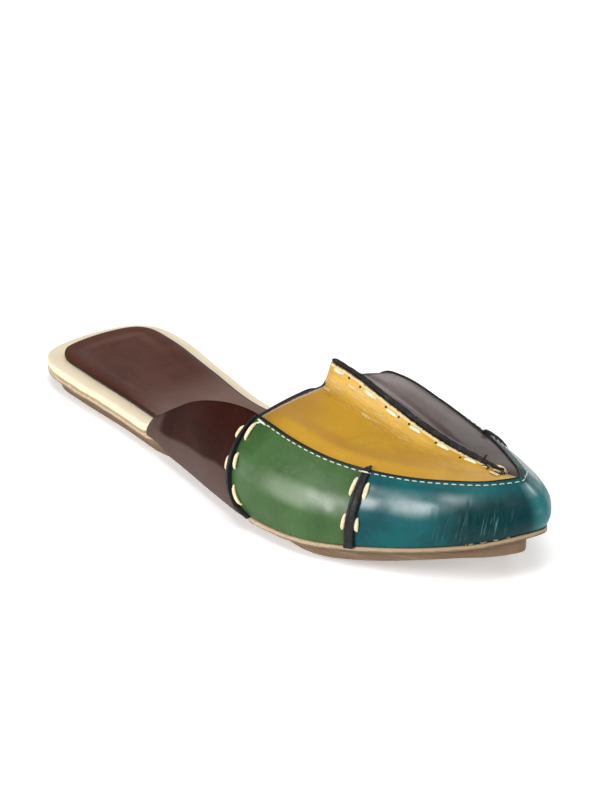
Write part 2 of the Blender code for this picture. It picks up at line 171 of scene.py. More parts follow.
class Plan:
    """Closed outline of the last bottom: heel back, outer side, toe tip, inner side."""

    def __init__(self):
        outer = np.stack([OUTLINE[:, 0] * LENGTH, -OUTLINE[:, 1] * BALL_WIDTH], 1)
        inner = np.stack([OUTLINE[:, 0] * LENGTH, OUTLINE[:, 2] * BALL_WIDTH], 1)
        loop = np.concatenate([[(0.0, 0.0)], outer, [(LENGTH, TIP_SIDE * BALL_WIDTH)], inner[::-1]])
        steps = np.sqrt(np.linalg.norm(np.roll(loop, -1, axis=0) - loop, axis=1))
        keys = np.concatenate([[0.0], np.cumsum(steps)])
        self.total = keys[-1]
        self.tip = keys[len(outer) + 1]
        self.knots = (keys[:len(outer) + 2], keys[len(outer) + 1:][::-1])
        self.keys = np.concatenate([keys[-4:-1] - self.total, keys, self.total + keys[1:3]])
        self.loop = np.concatenate([loop[-3:], loop, loop[:3]])
        half = np.linspace(0.0, 1.0, 3000)
        walks = {True: half * self.tip, False: self.total - half * (self.total - self.tip)}
        self.sides = {outer_side: (self.point(line)[:, 0], line) for outer_side, line in walks.items()}
        self.round = np.linspace(0.0, self.total, 6000)
        walked = np.linalg.norm(np.diff(self.point(self.round[:-1]), axis=0), axis=1)
        self.walked = np.concatenate([[0.0], np.cumsum(walked), [walked.sum() + walked[-1]]])

    def point(self, u):
        u = np.asarray(u, float) % self.total
        return np.stack([smooth(self.keys, self.loop[:, k], u) for k in (0, 1)], axis=-1)

    def inward(self, u):
        along = self.point(u + 0.02) - self.point(u - 0.02)
        return unit(np.stack([-along[..., 1], along[..., 0]], axis=-1))

    def at(self, x, outer):
        """Place on the outer or inner side that has the given x."""
        xs, line = self.sides[outer]
        return np.interp(x, xs, line)

    def arc(self, u):
        """Millimetres walked round the outline from the heel back."""
        return np.interp(u, self.round, self.walked)

    def step(self, u, length):
        """Place a length in millimetres further round the outline."""
        return np.interp(self.arc(u) + length, self.walked, self.round)


PLAN = Plan()
U_OUTER = float(PLAN.at(OUTER_THROAT, True))
U_INNER = float(PLAN.at(INNER_THROAT, False))
WALL_START = float(PLAN.at(OUTER_WALL[0, 0], True))
WALL_END = float(PLAN.at(INNER_WALL[0, 0], False))
RIDGE_RAY = unit(RIDGE_FRONT - RIDGE_BACK)


def lift(x):
    return TOE_SPRING * np.maximum(0.0, (x / LENGTH - SPRING_START) / (1.0 - SPRING_START)) ** 2


def block_bottom(x):
    share = np.clip((x - ARCH_BACK) / (ARCH_FRONT - ARCH_BACK), 0.0, 1.0)
    rise = ARCH_RISE * np.sin(math.pi * share) ** 2 + TOE_THINNER * span(212.0, 240.0, 244.0, 258.0, x)
    return rise + lift(x) - TOE_THICKER * ease(248.0, LENGTH, x)


def lip_under(x):
    return column(SOLE, 1, x) + lift(x)


def lip_top(x):
    return column(SOLE, 2, x) + lift(x)


def board_top(x):
    return lip_top(x) + HEEL_STACK - SOLE[0, 2]


def wall_row(u, index):
    x = PLAN.point(u)[..., 0]
    return np.where(u <= PLAN.tip, column(OUTER_WALL, index, x), column(INNER_WALL, index, x))


def ridge_share(u):
    """Share of the ridge, from throat to toe, that a place on the outline faces."""
    back = np.where(u <= PLAN.tip, U_OUTER, U_INNER)
    return np.clip((u - back) / (PLAN.tip - back), 0.0, 1.0) ** RIDGE_SHARE_POWER


def facing(w, outer):
    """Place on the outer or inner side of the outline that faces a share of the ridge."""
    back = U_OUTER if outer else U_INNER
    return back + (PLAN.tip - back) * np.asarray(w, float) ** (1.0 / RIDGE_SHARE_POWER)


def ridge_plan(w):
    return mixed(RIDGE_BACK, RIDGE_FRONT, w)


def ridge_half(w):
    return RIDGE_HALF * (1.0 - ease(0.94, 1.0, w))


def wall_foot(u, x):
    """Lower edge of the wall: on the lip, but down over its side along the outer waist."""
    return lip_top(x) + GAP - WAIST_DROP * span(92.0, 104.0, 158.0, 164.5, x) * (u <= PLAN.tip)


def wall_point(u, v):
    """Outside of the wall for v from 0 at the sole to 1 at the top edge."""
    u, v = np.broadcast_arrays(np.asarray(u, float), np.asarray(v, float))
    foot = PLAN.point(u)
    v = np.maximum(v, 0.0)
    inset = wall_row(u, 1) * v ** SHOULDER - 4.0 * wall_row(u, 3) * v * (1.0 - v)
    w = ridge_share(u)
    inward = unit(mixed(PLAN.inward(u), unit(ridge_plan(w) - foot), ease(0.5, 0.9, w)))
    low = wall_foot(u, foot[..., 0])
    return raised(foot + inward * inset[..., None], low + (wall_row(u, 2) - low) * v)


def base_point(u, v):
    """Wall-level surface from the sole (0) over the top edge of the wall (1) to the ridge line (2)."""
    u, v = np.broadcast_arrays(np.asarray(u, float), np.asarray(v, float))
    t = np.clip(v - 1.0, 0.0, 1.0)
    edge = wall_point(u, np.minimum(v, 1.0))
    w = ridge_share(u)
    flat = mixed(edge[..., :2], ridge_plan(w), t)
    crown = CROWN * (1.0 - w) * np.sin(math.pi * t)
    return raised(flat, edge[..., 2] + (column(RIDGE, 1, w) - edge[..., 2]) * t + crown)


def base_normal(u, v):
    """Outward normal of the wall, turning upright over the lap."""
    u, v = np.broadcast_arrays(np.asarray(u, float), np.asarray(v, float))
    level = np.minimum(v, 1.0)
    along = wall_point(u + 0.06, level) - wall_point(u - 0.06, level)
    up = wall_point(u, np.minimum(level + 0.06, 1.0)) - wall_point(u, np.maximum(level - 0.06, 0.0))
    return unit(mixed(unit(np.cross(along, up)), np.array((0.0, 0.0, 1.0)), ease(0.8, 1.3, v)))


def skin_point(u, v, depth):
    """Place at a depth along the normal from the wall-level surface, outwards if positive."""
    return base_point(u, v) + base_normal(u, v) * np.asarray(depth, float)[..., None]


def ridge_reach(u):
    """Width of a top panel, from the lap to the middle line."""
    w = ridge_share(u)
    return np.linalg.norm(wall_point(u, np.ones_like(u))[..., :2] - ridge_plan(w), axis=-1)


def top_panel_point(u, share, depth=0.0):
    """Outside of a top panel: share 0 at the lap, 1 at the side of the standing ridge, where it turns up."""
    u, share = np.broadcast_arrays(np.asarray(u, float), np.asarray(share, float))
    w = ridge_share(u)
    reach = ridge_reach(u)
    half = ridge_half(w)
    far = half + (reach - half) * (1.0 - share)
    turn = np.clip(1.0 - (far - half) / RIDGE_FLARE, 0.0, 1.0) ** 2
    top = column(RIDGE, 2, w) - RIDGE_EDGE_HIGH - GAP
    stand = np.maximum(0.0, top - (column(RIDGE, 1, w) - LAP_STEP))
    spot = skin_point(u, 2.0 - far / reach, depth - LAP_STEP)
    spot[..., 2] += stand * turn
    return spot


def ring_point(u, inset):
    return PLAN.point(u) + PLAN.inward(u) * np.asarray(inset)[..., None]


def lip_inset(u, x, fade=165.0, out_again=171.0):
    """The lip stands out a little in front and is tucked in behind the wall along the outer waist."""
    out = -LIP_OUT * ease(120.0, 160.0, x)
    return out + (WALL + 2.0 * GAP - out) * span(84.0, 92.0, fade, out_again, x) * (u <= PLAN.tip)


# Seam paths: x at the sole for a height up the wall
def rear_seam(v):
    return 154.5 + 10.0 * (1.0 - np.clip(v, 0.0, 1.0)) ** 7 + 3.0 * np.clip(v, 0.0, 1.0) ** 6


def front_seam(v):
    return 211.0 + 3.0 * np.clip(v, 0.0, 1.0) ** 1.6


def inner_seam(v):
    return 211.0 + 3.0 * np.clip(v, 0.0, 1.0) ** 2


# Making pieces
HOME = bpy.data.collections.new("mule_look")
bpy.context.scene.collection.children.link(HOME)
AROUND = np.linspace(0.0, PLAN.total, 2000)
LIP_RING = ring_point(AROUND, lip_inset(AROUND, PLAN.point(AROUND)[:, 0]))
LIP_LOW, LIP_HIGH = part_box("sole_lip")
SHIFT = [0.5 * (LIP_RING[:, k].min() + LIP_RING[:, k].max()) - 0.5 * (LIP_LOW[k] + LIP_HIGH[k]) / MM
         for k in (0, 1)]


def lay_grid(bm, columns, rows, place, margins=None):
    """Adds a grid whose points follow place(s, t). Two UV maps keep the millimetres along and up the leather
    and those to its ends and top edge."""
    made = bmesh.ops.create_grid(bm, x_segments=columns, y_segments=rows, size=0.5)["verts"]
    s, t = np.meshgrid(np.linspace(0.0, 1.0, columns + 1), np.linspace(0.0, 1.0, rows + 1), indexing="ij")
    spots = place(s, t)
    along = np.zeros(s.shape)
    along[1:] = np.cumsum(np.linalg.norm(np.diff(spots, axis=0), axis=-1), axis=0)
    up = np.zeros(s.shape)
    up[:, 1:] = np.cumsum(np.linalg.norm(np.diff(spots, axis=1), axis=-1), axis=1)
    along = np.repeat(along[:, rows // 2:rows // 2 + 1], rows + 1, axis=1)
    laid = bm.loops.layers.uv.get("laid") or bm.loops.layers.uv.new("laid")
    margin = bm.loops.layers.uv.get("margin") or bm.loops.layers.uv.new("margin")
    ends = np.minimum(along, along[-1:] - along)
    tops = up[:, -1:] - up if margins is None else margins(spots)
    corner = {}
    for vert in made:
        i, j = round((vert.co.x + 0.5) * columns), round((vert.co.y + 0.5) * rows)
        corner[vert] = (i, j)
        vert.co = spots[i, j]
    for face in {face for vert in made for face in vert.link_faces}:
        face.smooth = True
        for loop in face.loops:
            i, j = corner[loop.vert]
            loop[laid].uv = (along[i, j], up[i, j])
            loop[margin].uv = (ends[i, j], tops[i, j])
    return made


def finish_piece(name, bm, finishes, nodes=(), thick=0.0, rounded=0.0):
    """Puts a mesh in metres in the frame of the solids and lets it ride on the shoe."""
    bmesh.ops.translate(bm, vec=(-SHIFT[0], -SHIFT[1], 0.0), verts=bm.verts)
    bmesh.ops.scale(bm, vec=(MM, MM, MM), verts=bm.verts)
    mesh = bpy.data.meshes.new(name)
    bm.to_mesh(mesh)
    bm.free()
    piece = bpy.data.objects.new(name, mesh)
    for finish in finishes:
        mesh.materials.append(finish)
    HOME.objects.link(piece)
    if thick:
        wall = piece.modifiers.new("thickness", "SOLIDIFY")
        wall.thickness = thick * MM
        wall.offset = -1.0
        wall.use_even_offset = False
        wall.material_offset_rim = min(1, len(finishes) - 1)
    if rounded:
        edge = piece.modifiers.new("rounded edge", "BEVEL")
        edge.width = rounded * MM
        edge.segments = 2
        edge.limit_method = "ANGLE"
        edge.angle_limit = math.radians(55.0)
    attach(piece, "root")
    if nodes:
        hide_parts(*nodes)
    return piece


def closed(bm):
    bmesh.ops.remove_doubles(bm, verts=bm.verts, dist=0.004)
    bmesh.ops.dissolve_degenerate(bm, dist=0.003, edges=bm.edges)
    bmesh.ops.recalc_face_normals(bm, faces=bm.faces)


def closed_grid(columns, rows, place, margins=None):
    """Grid on place(s, t) whose edges meet, merged into one shell."""
    bm = bmesh.new()
    lay_grid(bm, columns, rows, place, margins)
    closed(bm)
    return bm


def leather_sheet(name, columns, rows, place, finishes, thick, rounded):
    """One sheet of the upper, with its thickness and rounded cut edges."""
    bm = bmesh.new()
    lay_grid(bm, columns, rows, place)
    finish_piece(name, bm, finishes, ["upper"], thick, rounded)


# Finishes
def dye(red, green, blue):
    """Linear colour of a dye named by its 0 to 255 screen values."""
    def linear(c):
        c = c / 255.0
        return c / 12.92 if c <= 0.04045 else ((c + 0.055) / 1.055) ** 2.4
    return (linear(red), linear(green), linear(blue), 1.0)


class Value:
    """A shader value: sums and products on it add Math nodes to its finish."""

    def __init__(self, finish, socket):
        self.finish, self.socket = finish, socket

    def math(self, operation, first, second):
        return self.finish.node("ShaderNodeMath", {"operation": operation}, {0: first, 1: second})

    def __add__(self, other):
        return self.math("ADD", self, other)

    __radd__ = __add__

    def __sub__(self, other):
        return self.math("SUBTRACT", self, other)

    def __rsub__(self, other):
        return self.math("SUBTRACT", other, self)

    def __mul__(self, other):
        return self.math("MULTIPLY", self, other)

    __rmul__ = __mul__

    def __truediv__(self, other):
        return self.math("DIVIDE", self, other)

    def most(self, other):
        return self.math("MAXIMUM", self, other)

    def step(self, low, high, bottom=0.0, top=1.0):
        """Soft step from bottom to top while the value goes from low to high."""
        ends = {"Value": self, "From Min": low, "From Max": high, "To Min": bottom, "To Max": top}
        kind = {"interpolation_type": "SMOOTHSTEP", "clamp": True}
        return self.finish.node("ShaderNodeMapRange", kind, ends)

    def fall(self, low, high):
        """One up to low, nothing from high."""
        return self.step(low, high, 1.0, 0.0)

    def band(self, low, full, fade, high):
        """Rises from low to full and falls from fade to high."""
        return self.step(low, full) * self.fall(fade, high)


class Finish:
    """A procedural material round one Principled shader."""

    def __init__(self, name, **fixed):
        self.material = bpy.data.materials.new(name)
        self.material.use_nodes = True
        self.tree = self.material.node_tree
        self.shader = self.tree.nodes["Principled BSDF"]
        for socket, value in fixed.items():
            self.shader.inputs[socket.replace("_", " ")].default_value = value

    def node(self, kind, settings=None, sockets=None, output=0):
        made = self.tree.nodes.new(kind)
        for key, value in (settings or {}).items():
            setattr(made, key, value)
        for key, value in (sockets or {}).items():
            if isinstance(value, Value):
                self.tree.links.new(value.socket, made.inputs[key])
            else:
                made.inputs[key].default_value = value
        return Value(self, made.outputs[output])

    def place(self, scale=(1.0, 1.0, 1.0)):
        """Position on the shoe in metres, stretched."""
        spot = self.node("ShaderNodeTexCoord", output=3)
        return self.node("ShaderNodeMapping", None, {"Vector": spot, "Scale": scale})

    def laid(self):
        """Millimetres along and up the piece."""
        return self.node("ShaderNodeUVMap", {"uv_map": "laid"})

    def axis(self, vector, index):
        return self.node("ShaderNodeSeparateXYZ", None, {"Vector": vector}, output=index)

    def along(self):
        return self.axis(self.laid(), 0)

    def up(self):
        return self.axis(self.laid(), 1)

    def pair(self, first, second):
        return self.node("ShaderNodeCombineXYZ", None, {0: first, 1: second})

    def margin(self, index):
        """Millimetres to the nearest end (0) or to the top edge (1) of the piece."""
        return self.axis(self.node("ShaderNodeUVMap", {"uv_map": "margin"}), index)

    def noise(self, vector, scale, detail=3.0, rough=0.5, warp=0.0):
        return self.node("ShaderNodeTexNoise", None, {"Vector": vector, "Scale": scale, "Detail": detail,
                                                      "Roughness": rough, "Distortion": warp})

    def cells(self, vector, scale):
        return self.node("ShaderNodeTexVoronoi", None, {"Vector": vector, "Scale": scale})

    def mix(self, share, first, second):
        return self.node("ShaderNodeMix", {"data_type": "RGBA"}, {0: share, 6: first, 7: second}, output=2)

    def feed(self, socket, value):
        self.tree.links.new(value.socket, self.shader.inputs[socket])

    def bump(self, *heights):
        """Chains bumps given as height value and depth in millimetres."""
        normal = None
        for height, depth in heights:
            sockets = {"Height": height, "Distance": depth * MM, "Strength": 1.0}
            if normal is not None:
                sockets["Normal"] = normal
            normal = self.node("ShaderNodeBump", None, sockets)
        self.feed("Normal", normal)


def leather(name, main, deep, pale, gloss=0.34, shine=0.25, coat=0.1, grain=0.03, edge=None, lap=None,
            fray=None, throat=None, tones=(), polish=None, crinkle_and_painted_glint=None, coat_index=1.5, coat_rough=0.26):
    """Polished leather: cloudy dye, fine pores, faint creases. It may be darker to its edges, have a painted
    lap line with its width, a frayed ridge side, a raw throat line, more tones with the functions that place
    them and their coats, a polished part, or crinkles given as height, tone of their painted glints, share
    of that tone and depth."""
    look = Finish(name, Coat_Roughness=coat_rough, Coat_IOR=coat_index, Specular_IOR_Level=shine)
    spot = look.place()
    clouds = look.noise(spot, 55.0, 4.0, 0.55, 0.6)
    mottle = look.noise(spot, 420.0, 3.0, 0.6)
    specks = look.noise(spot, 900.0, 4.0, 0.7)
    colour = look.mix(clouds.step(0.35, 0.72), main, deep)
    colour = look.mix(mottle.step(0.52, 0.8) * 0.3, colour, pale)
    gleam = mottle.step(0.2, 0.6, 0.75, 1.0)
    covered = gleam * coat
    for tone, where, tone_coat in tones:
        share = where(look)
        colour = look.mix(share, colour, tone)
        covered = covered * (1.0 - share) + gleam * share * tone_coat
    if polish is not None:
        covered = covered + gleam * polish(look)
    folds = []
    # Crinkles: a bump, with painted glints in their tone along the crinkle lines.
    if crinkle_and_painted_glint is not None:
        height, tone, amount, depth = crinkle_and_painted_glint(look)
        colour = look.mix(height * amount, colour, tone)
        folds.append((height, depth))
    if edge is not None:
        near = look.margin(1).fall(0.2, 2.4) * 0.5
        near = near.most(look.margin(0).fall(0.2, 3.0) * 0.5)
        colour = look.mix(near * look.noise(spot, 160.0, 3.0).step(0.2, 0.6, 0.5, 1.0), colour, edge)
    if lap is not None:
        paint, thin, wide = lap
        colour = look.mix((look.margin(1) + mottle * 0.4).fall(thin, wide), colour, paint)
    if fray is not None:
        band = look.margin(1).fall(0.4, 2.2)
        colour = look.mix((band + specks * 1.4 - 0.7).step(0.45, 0.75), colour, fray)
        colour = look.mix((look.margin(1) + specks * 2.0).fall(0.9, 1.5), colour, dye(62, 50, 40))
    if throat is not None:
        reach = look.margin(0) + specks * 1.2 + look.margin(1).step(4.0, 14.0, 1.7, 0.0)
        colour = look.mix(reach.fall(1.9, 2.6), colour, throat)
        raw = look.margin(0) + specks * 1.2 + look.margin(1).step(5.0, 9.0, 1.7, 0.0)
        colour = look.mix(raw.fall(1.2, 1.5), colour, dye(40, 36, 34))
    look.feed("Base Color", colour)
    look.feed("Roughness", gloss + clouds.step(0.3, 0.7) * 0.06 + mottle * 0.08)
    look.feed("Coat Weight", covered)
    pores = look.cells(spot, 1150.0)
    creases = look.noise(look.place((1.0, 1.0, 1.6)), 210.0, 5.0, 0.62, 0.8)
    look.bump(*folds, (creases, grain * 4.0), (pores, grain), (specks, grain))
    return look.material


def quarter_painted_floor_reflection(look):
    """Painted reflection of the floor: paler low on the rear panel and at its back end, with a soft edge that
    climbs to the front.
    """
    height = look.up() - look.along() * 0.215 + look.noise(look.place(), 90.0, 2.0) * 2.4 - 1.2
    return height.fall(4.0, 6.4).most(look.along().step(9.5, 14.5, 0.8, 0.0))


def sock_rim(look):
    """Burnished rim of the sock."""
    return (look.margin(1) + look.noise(look.place(), 300.0, 2.0) * 0.8).fall(0.8, 1.9) * 0.85


def sock_crease_painted_highlight(look):
    """Painted highlight: faint paler line along the crease round the dish of the heel, most of it on the inner
    side.
    """
    far = look.margin(1) + look.noise(look.place(), 120.0, 2.0) * 2.0 - 1.0
    heel = look.axis(look.place(), 0).fall(-0.118, -0.085)
    inner = look.axis(look.place(), 1).step(-0.02, 0.02, 0.12, 0.3)
    return far.band(6.0, 8.5, 9.0, 12.5) * heel * inner


def sock_front(look):
    """Dusty paler middle of the sock towards the throat."""
    dust = look.noise(look.place(), 40.0, 3.0).step(0.2, 0.7, 0.5, 0.9)
    return look.axis(look.place(), 0).step(-0.075, -0.03) * dust


def side_band(look):
    """Band along the bulge of the green side, a little higher to the front."""
    down = look.margin(1) + look.along() * 0.09 + look.noise(look.place(), 70.0, 2.0) * 4.0 - 2.0
    return down.band(15.3, 20.3, 22.0, 27.5)


def side_polish(look):
    """Soft polish on the band, stronger to the front."""
    return side_band(look) * look.along().step(20.0, 44.0, 0.35, 0.76)


def side_painted_highlight(look):
    """Painted highlight: paler green at the back of the band."""
    along = look.along()
    return side_band(look) * along.step(16.0, 28.0) * along.step(36.0, 50.0, 1.0, 0.1) * 0.34


def toe_polish(look):
    """Polish on the upper bulge of the toe wrap as far as the bend, and again past it at the tip."""
    down = look.margin(1) + look.noise(look.place(), 70.0, 2.0) * 3.0 - 1.5
    along = look.along()
    low = down + along.step(24.0, 46.0) * 4.0
    band = down.step(4.0, 8.0) * low.fall(12.0, 17.0) * along.step(37.0, 48.0, 0.95, 0.0)
    return band.most(along.step(67.0, 71.0) * down.band(3.0, 5.0, 9.0, 12.0))


def toe_shadow(look):
    """Painted shade low on the bend of the toe and in its hollow."""
    along, up = look.along(), look.up()
    waver = look.noise(look.pair(along * 0.3, up * 0.1), 1.0, 3.0) * 8.0 - 4.0
    bend = (along + waver).step(27.0, 44.0) * (along + waver * 0.3).fall(66.0, 72.0)
    return bend * (up + waver * 0.6).fall(13.5, 22.0) * 0.92


def toe_crinkles_and_painted_glints(look):
    """Fine upright crinkles low on the bend of the toe, with painted glints in pale teal along their lines."""
    along, up = look.along(), look.up()
    lines = look.noise(look.pair((along - up * 0.16) * 1.15, up * 0.07), 1.0, 4.0, 0.6, 0.3)
    zone = along.band(28.0, 40.0, 57.0, 64.0) * up.band(0.5, 3.0, 9.0, 14.0)
    return lines.step(0.54, 0.70) * zone, dye(110, 172, 172), 0.38, 0.25


def toe_tip_painted_highlight(look):
    """Painted highlight on the very tip of the toe."""
    return look.along().band(67.0, 73.0, 90.0, 100.0) * look.margin(1).step(3.0, 8.0) * 0.55


def inner_lap(look):
    """The black lap line is broader on the inner side of the toe."""
    return look.along().step(73.0, 79.0) * look.margin(1).fall(1.5, 2.2)


def ridge_end_shadow(look):
    """Patchy painted shade where the ridge runs out at the toe."""
    patchy = look.noise(look.place(), 500.0, 3.0).step(0.3, 0.6, 0.5, 1.0)
    return look.along().step(86.0, 91.0) * look.margin(1).fall(2.0, 6.0) * patchy


def throat_shadow(look):
    """Duller yellow beside the throat."""
    return look.along().fall(3.0, 24.0) * look.margin(1).step(12.0, 24.0) * 0.7


def lap_painted_highlight(look):
    """Painted highlight: brighter yellow just above the lap."""
    along = look.along()
    return look.up().fall(6.5, 10.0) * along.step(3.0, 14.0) * along.step(60.0, 84.0, 1.0, 0.5) * 0.34


def fold_shadow(look):
    """Duller yellow along the soft fold above the lap."""
    up, along = look.up(), look.along()
    return up.band(8.0, 11.0, 12.5, 16.5) * along.step(8.0, 16.0) * along.step(36.0, 62.0, 0.6, 0.0)


def fin_painted_highlight(look):
    """Painted highlight: brighter yellow where the leather turns up to the ridge."""
    return look.margin(1).fall(3.0, 12.0) * look.along().step(20.0, 74.0, 0.95, 0.3)


def fin_wrinkles_and_painted_glints(look):
    """Fine wrinkles beside the standing ridge, most of them near the throat, with painted glints in pale
    yellow along their lines.
    """
    along, far = look.along(), look.margin(1)
    lines = look.noise(look.pair(along * 0.13, far * 0.8), 1.0, 4.0, 0.6, 0.8)
    zone = far.band(1.5, 4.0, 9.0, 14.0) * along.step(30.0, 58.0, 1.0, 0.15)
    return lines.step(0.5, 0.7) * zone, dye(255, 238, 186), 0.6, 0.3


def back_painted_reflection(look):
    """Painted reflection: paler patches on the inner top panel towards the throat."""
    return look.along().step(25.0, 80.0) * look.noise(look.place(), 45.0, 3.0).step(0.25, 0.6, 0.6, 1.0)


GREEN_DYES = (dye(62, 96, 49), dye(49, 81, 37), dye(90, 119, 75))
GREEN_RIM = dye(30, 52, 26)
# Black lap line on the green: edge paint, drawn wide and soft so that it is also painted shade under the lap.
GREEN_LAP_PAINT_AND_SHADE = (dye(26, 32, 24), 0.85, 1.6)
# The green's pale tone is a painted highlight at the back of the band along its bulge.
GREEN = leather("green_leather", *GREEN_DYES, edge=GREEN_RIM, lap=GREEN_LAP_PAINT_AND_SHADE, polish=side_polish, coat=0.06,
                shine=0.2, coat_index=1.8, coat_rough=0.32, tones=((dye(150, 166, 138), side_painted_highlight, 0.3),))
INNER_GREEN = leather("inner_green_leather", *GREEN_DYES, edge=GREEN_RIM, lap=GREEN_LAP_PAINT_AND_SHADE, coat=0.25, shine=0.2)
# The teal's first tone is painted shade on the bend and hollow of the toe, its second a painted highlight on
# the tip, and its crinkle tone painted glints.
TEAL = leather("teal_leather", dye(2, 86, 89), dye(1, 66, 72), dye(22, 104, 106), edge=dye(6, 40, 48),
               lap=(dye(14, 28, 26), 0.8, 1.2), polish=toe_polish, crinkle_and_painted_glint=toe_crinkles_and_painted_glints, coat=0.02,
               shine=0.14, coat_index=1.95, coat_rough=0.33,
               tones=((dye(5, 46, 49), toe_shadow, 0.0), (dye(56, 128, 130), toe_tip_painted_highlight, 0.1),
                      (dye(14, 28, 30), inner_lap, 0.1)))
# Of the yellow's tones, those above the lap and on the turn-up to the ridge are painted highlights, those on
# the fold and at the ridge end painted shade, and the crinkle tone painted glints.
YELLOW = leather("yellow_leather", dye(190, 143, 34), dye(177, 129, 28), dye(207, 166, 66), gloss=0.42,
                 shine=0.4, edge=dye(176, 120, 28), fray=dye(226, 200, 146), throat=dye(184, 156, 122),
                 tones=((dye(160, 115, 34), throat_shadow, 0.1), (dye(214, 166, 42), lap_painted_highlight, 0.1),
                        (dye(172, 126, 30), fold_shadow, 0.1), (dye(220, 175, 66), fin_painted_highlight, 0.3),
                        (dye(70, 56, 44), ridge_end_shadow, 0.0)),
                 crinkle_and_painted_glint=fin_wrinkles_and_painted_glints)
# The rear panel's paler tone is a painted reflection of the floor, low on the panel and at its back end.
BROWN = leather("brown_leather", dye(52, 24, 18), dye(43, 20, 15), dye(66, 36, 29), shine=0.02, coat=0.0,
                edge=dye(38, 19, 16), tones=((dye(74, 48, 40), quarter_painted_floor_reflection, 0.31),))
# The inner top panel's pale tone is a painted reflection, patchy, towards the throat.
DARK_BROWN = leather("dark_brown_leather", dye(62, 47, 43), dye(56, 40, 34), dye(84, 70, 67), gloss=0.42,
                     shine=0.4, coat=0.14, edge=dye(34, 28, 28), throat=dye(60, 52, 48),
                     tones=((dye(124, 110, 106), back_painted_reflection, 0.26),))
# The sock's second tone is a painted highlight on the crease round the heel dish.
SOCK = leather("sock_leather", dye(82, 46, 34), dye(74, 40, 30), dye(98, 62, 50), gloss=0.5, shine=0.15,
               coat=0.0, grain=0.02,
               tones=((dye(128, 106, 96), sock_front, 0.0), (dye(122, 92, 82), sock_crease_painted_highlight, 0.0),
                      (dye(44, 29, 23), sock_rim, 0.0)))
LINING = leather("lining_leather", dye(40, 34, 32), dye(28, 24, 24), dye(70, 62, 58), gloss=0.6, coat=0.0)


def raw_edge(name, main, deep, pale, rough=0.7, worn=0.75, shine=0.25):
    """Cut edge of leather: short fibres and worn spots."""
    look = Finish(name, Specular_IOR_Level=shine)
    spot = look.place()
    fibre = look.noise(spot, 900.0, 5.0, 0.7)
    wear = look.noise(spot, 420.0, 4.0, 0.65)
    colour = look.mix(fibre.step(0.3, 0.7), deep, main)
    colour = look.mix(wear.step(0.54, 0.72) * worn, colour, pale)
    look.feed("Base Color", colour)
    look.feed("Roughness", rough - 0.2 * wear)
    look.bump((fibre, 0.16 * worn), (wear, 0.26 * worn))
    return look.material


BLACK_EDGE = raw_edge("black_edge_paint", dye(44, 42, 42), dye(24, 23, 24), dye(104, 96, 86), rough=0.8)
BLACK_SEAM = raw_edge("black_seam_leather", dye(32, 32, 34), dye(20, 20, 22), dye(60, 60, 63), rough=0.5,
                      worn=0.3, shine=0.22)
RAW_EDGE = raw_edge("raw_leather_edge", dye(210, 176, 112), dye(104, 76, 46), dye(240, 220, 176))
BROWN_CUT = raw_edge("brown_cut_edge", dye(128, 102, 94), dye(84, 58, 50), dye(166, 144, 134))


def sole_finish():
    look = Finish("tan_sole_rubber")
    spot = look.place()
    cloud = look.noise(spot, 60.0, 4.0, 0.6)
    layers = look.noise(look.place((30.0, 30.0, 900.0)), 1.0, 3.0, 0.6)
    fleck = look.noise(spot, 1400.0, 3.0, 0.7)
    colour = look.mix(cloud.step(0.3, 0.72), dye(116, 92, 67), dye(102, 79, 56))
    colour = look.mix(layers.step(0.45, 0.75) * 0.4, colour, dye(174, 146, 110))
    colour = look.mix(fleck.step(0.6, 0.8) * 0.35, colour, dye(122, 92, 62))
    look.feed("Base Color", colour)
    look.feed("Roughness", 0.55 + 0.2 * cloud)
    look.bump((layers, 0.12), (fleck, 0.06))
    return look.material


def lip_finish():
    look = Finish("tan_lip_edge")
    spot = look.place()
    fibre = look.noise(look.place((1.0, 1.0, 2.5)), 520.0, 5.0, 0.68)
    glue = look.noise(spot, 170.0, 3.0, 0.5)
    colour = look.mix(fibre.step(0.32, 0.68), dye(180, 158, 126), dye(204, 184, 152))
    colour = look.mix(glue.step(0.62, 0.74) * 0.6, colour, dye(232, 218, 192))
    below = (look.margin(1) + glue * 1.2).step(1.6, 2.1)
    colour = look.mix(below, colour, look.mix(fibre.step(0.32, 0.68), dye(120, 96, 70), dye(140, 116, 86)))
    # Painted shade: the lip is darker towards the toe, on its upper and lower part.
    front = look.axis(spot, 0).step(0.03, 0.12) * 0.9
    colour = look.mix(front, colour, look.mix(below, dye(156, 134, 104), dye(110, 88, 62)))
    look.feed("Base Color", colour)
    look.feed("Roughness", 0.68 - 0.15 * glue)
    look.bump((fibre, 0.16), (glue, 0.25))
    return look.material


def cream_finish():
    look = Finish("cream_wrap_leather", Coat_Roughness=0.3)
    spot = look.place()
    cloud = look.noise(spot, 70.0, 3.0, 0.5)
    mark = look.noise(look.place((1.0, 1.0, 5.0)), 240.0, 4.0, 0.6)
    colour = look.mix(cloud.step(0.3, 0.75), dye(241, 226, 198), dye(235, 218, 186))
    colour = look.mix(mark.step(0.62, 0.8) * 0.3, colour, dye(214, 190, 150))
    foot = look.axis(spot, 2) / MM + look.noise(look.place((1.0, 1.0, 0.0)), 70.0, 3.0) * 1.6
    drawn = foot.fall(9.0, 9.4) * look.axis(spot, 0).step(-0.13, -0.115)
    colour = look.mix(drawn, colour, look.mix(mark.step(0.4, 0.7), dye(176, 150, 112), dye(196, 172, 134)))
    look.feed("Base Color", colour)
    look.feed("Roughness", 0.48 + 0.12 * cloud)
    look.feed("Coat Weight", 0.15 * cloud)
    look.bump((mark, 0.06), (look.cells(spot, 1300.0), 0.015))
    return look.material


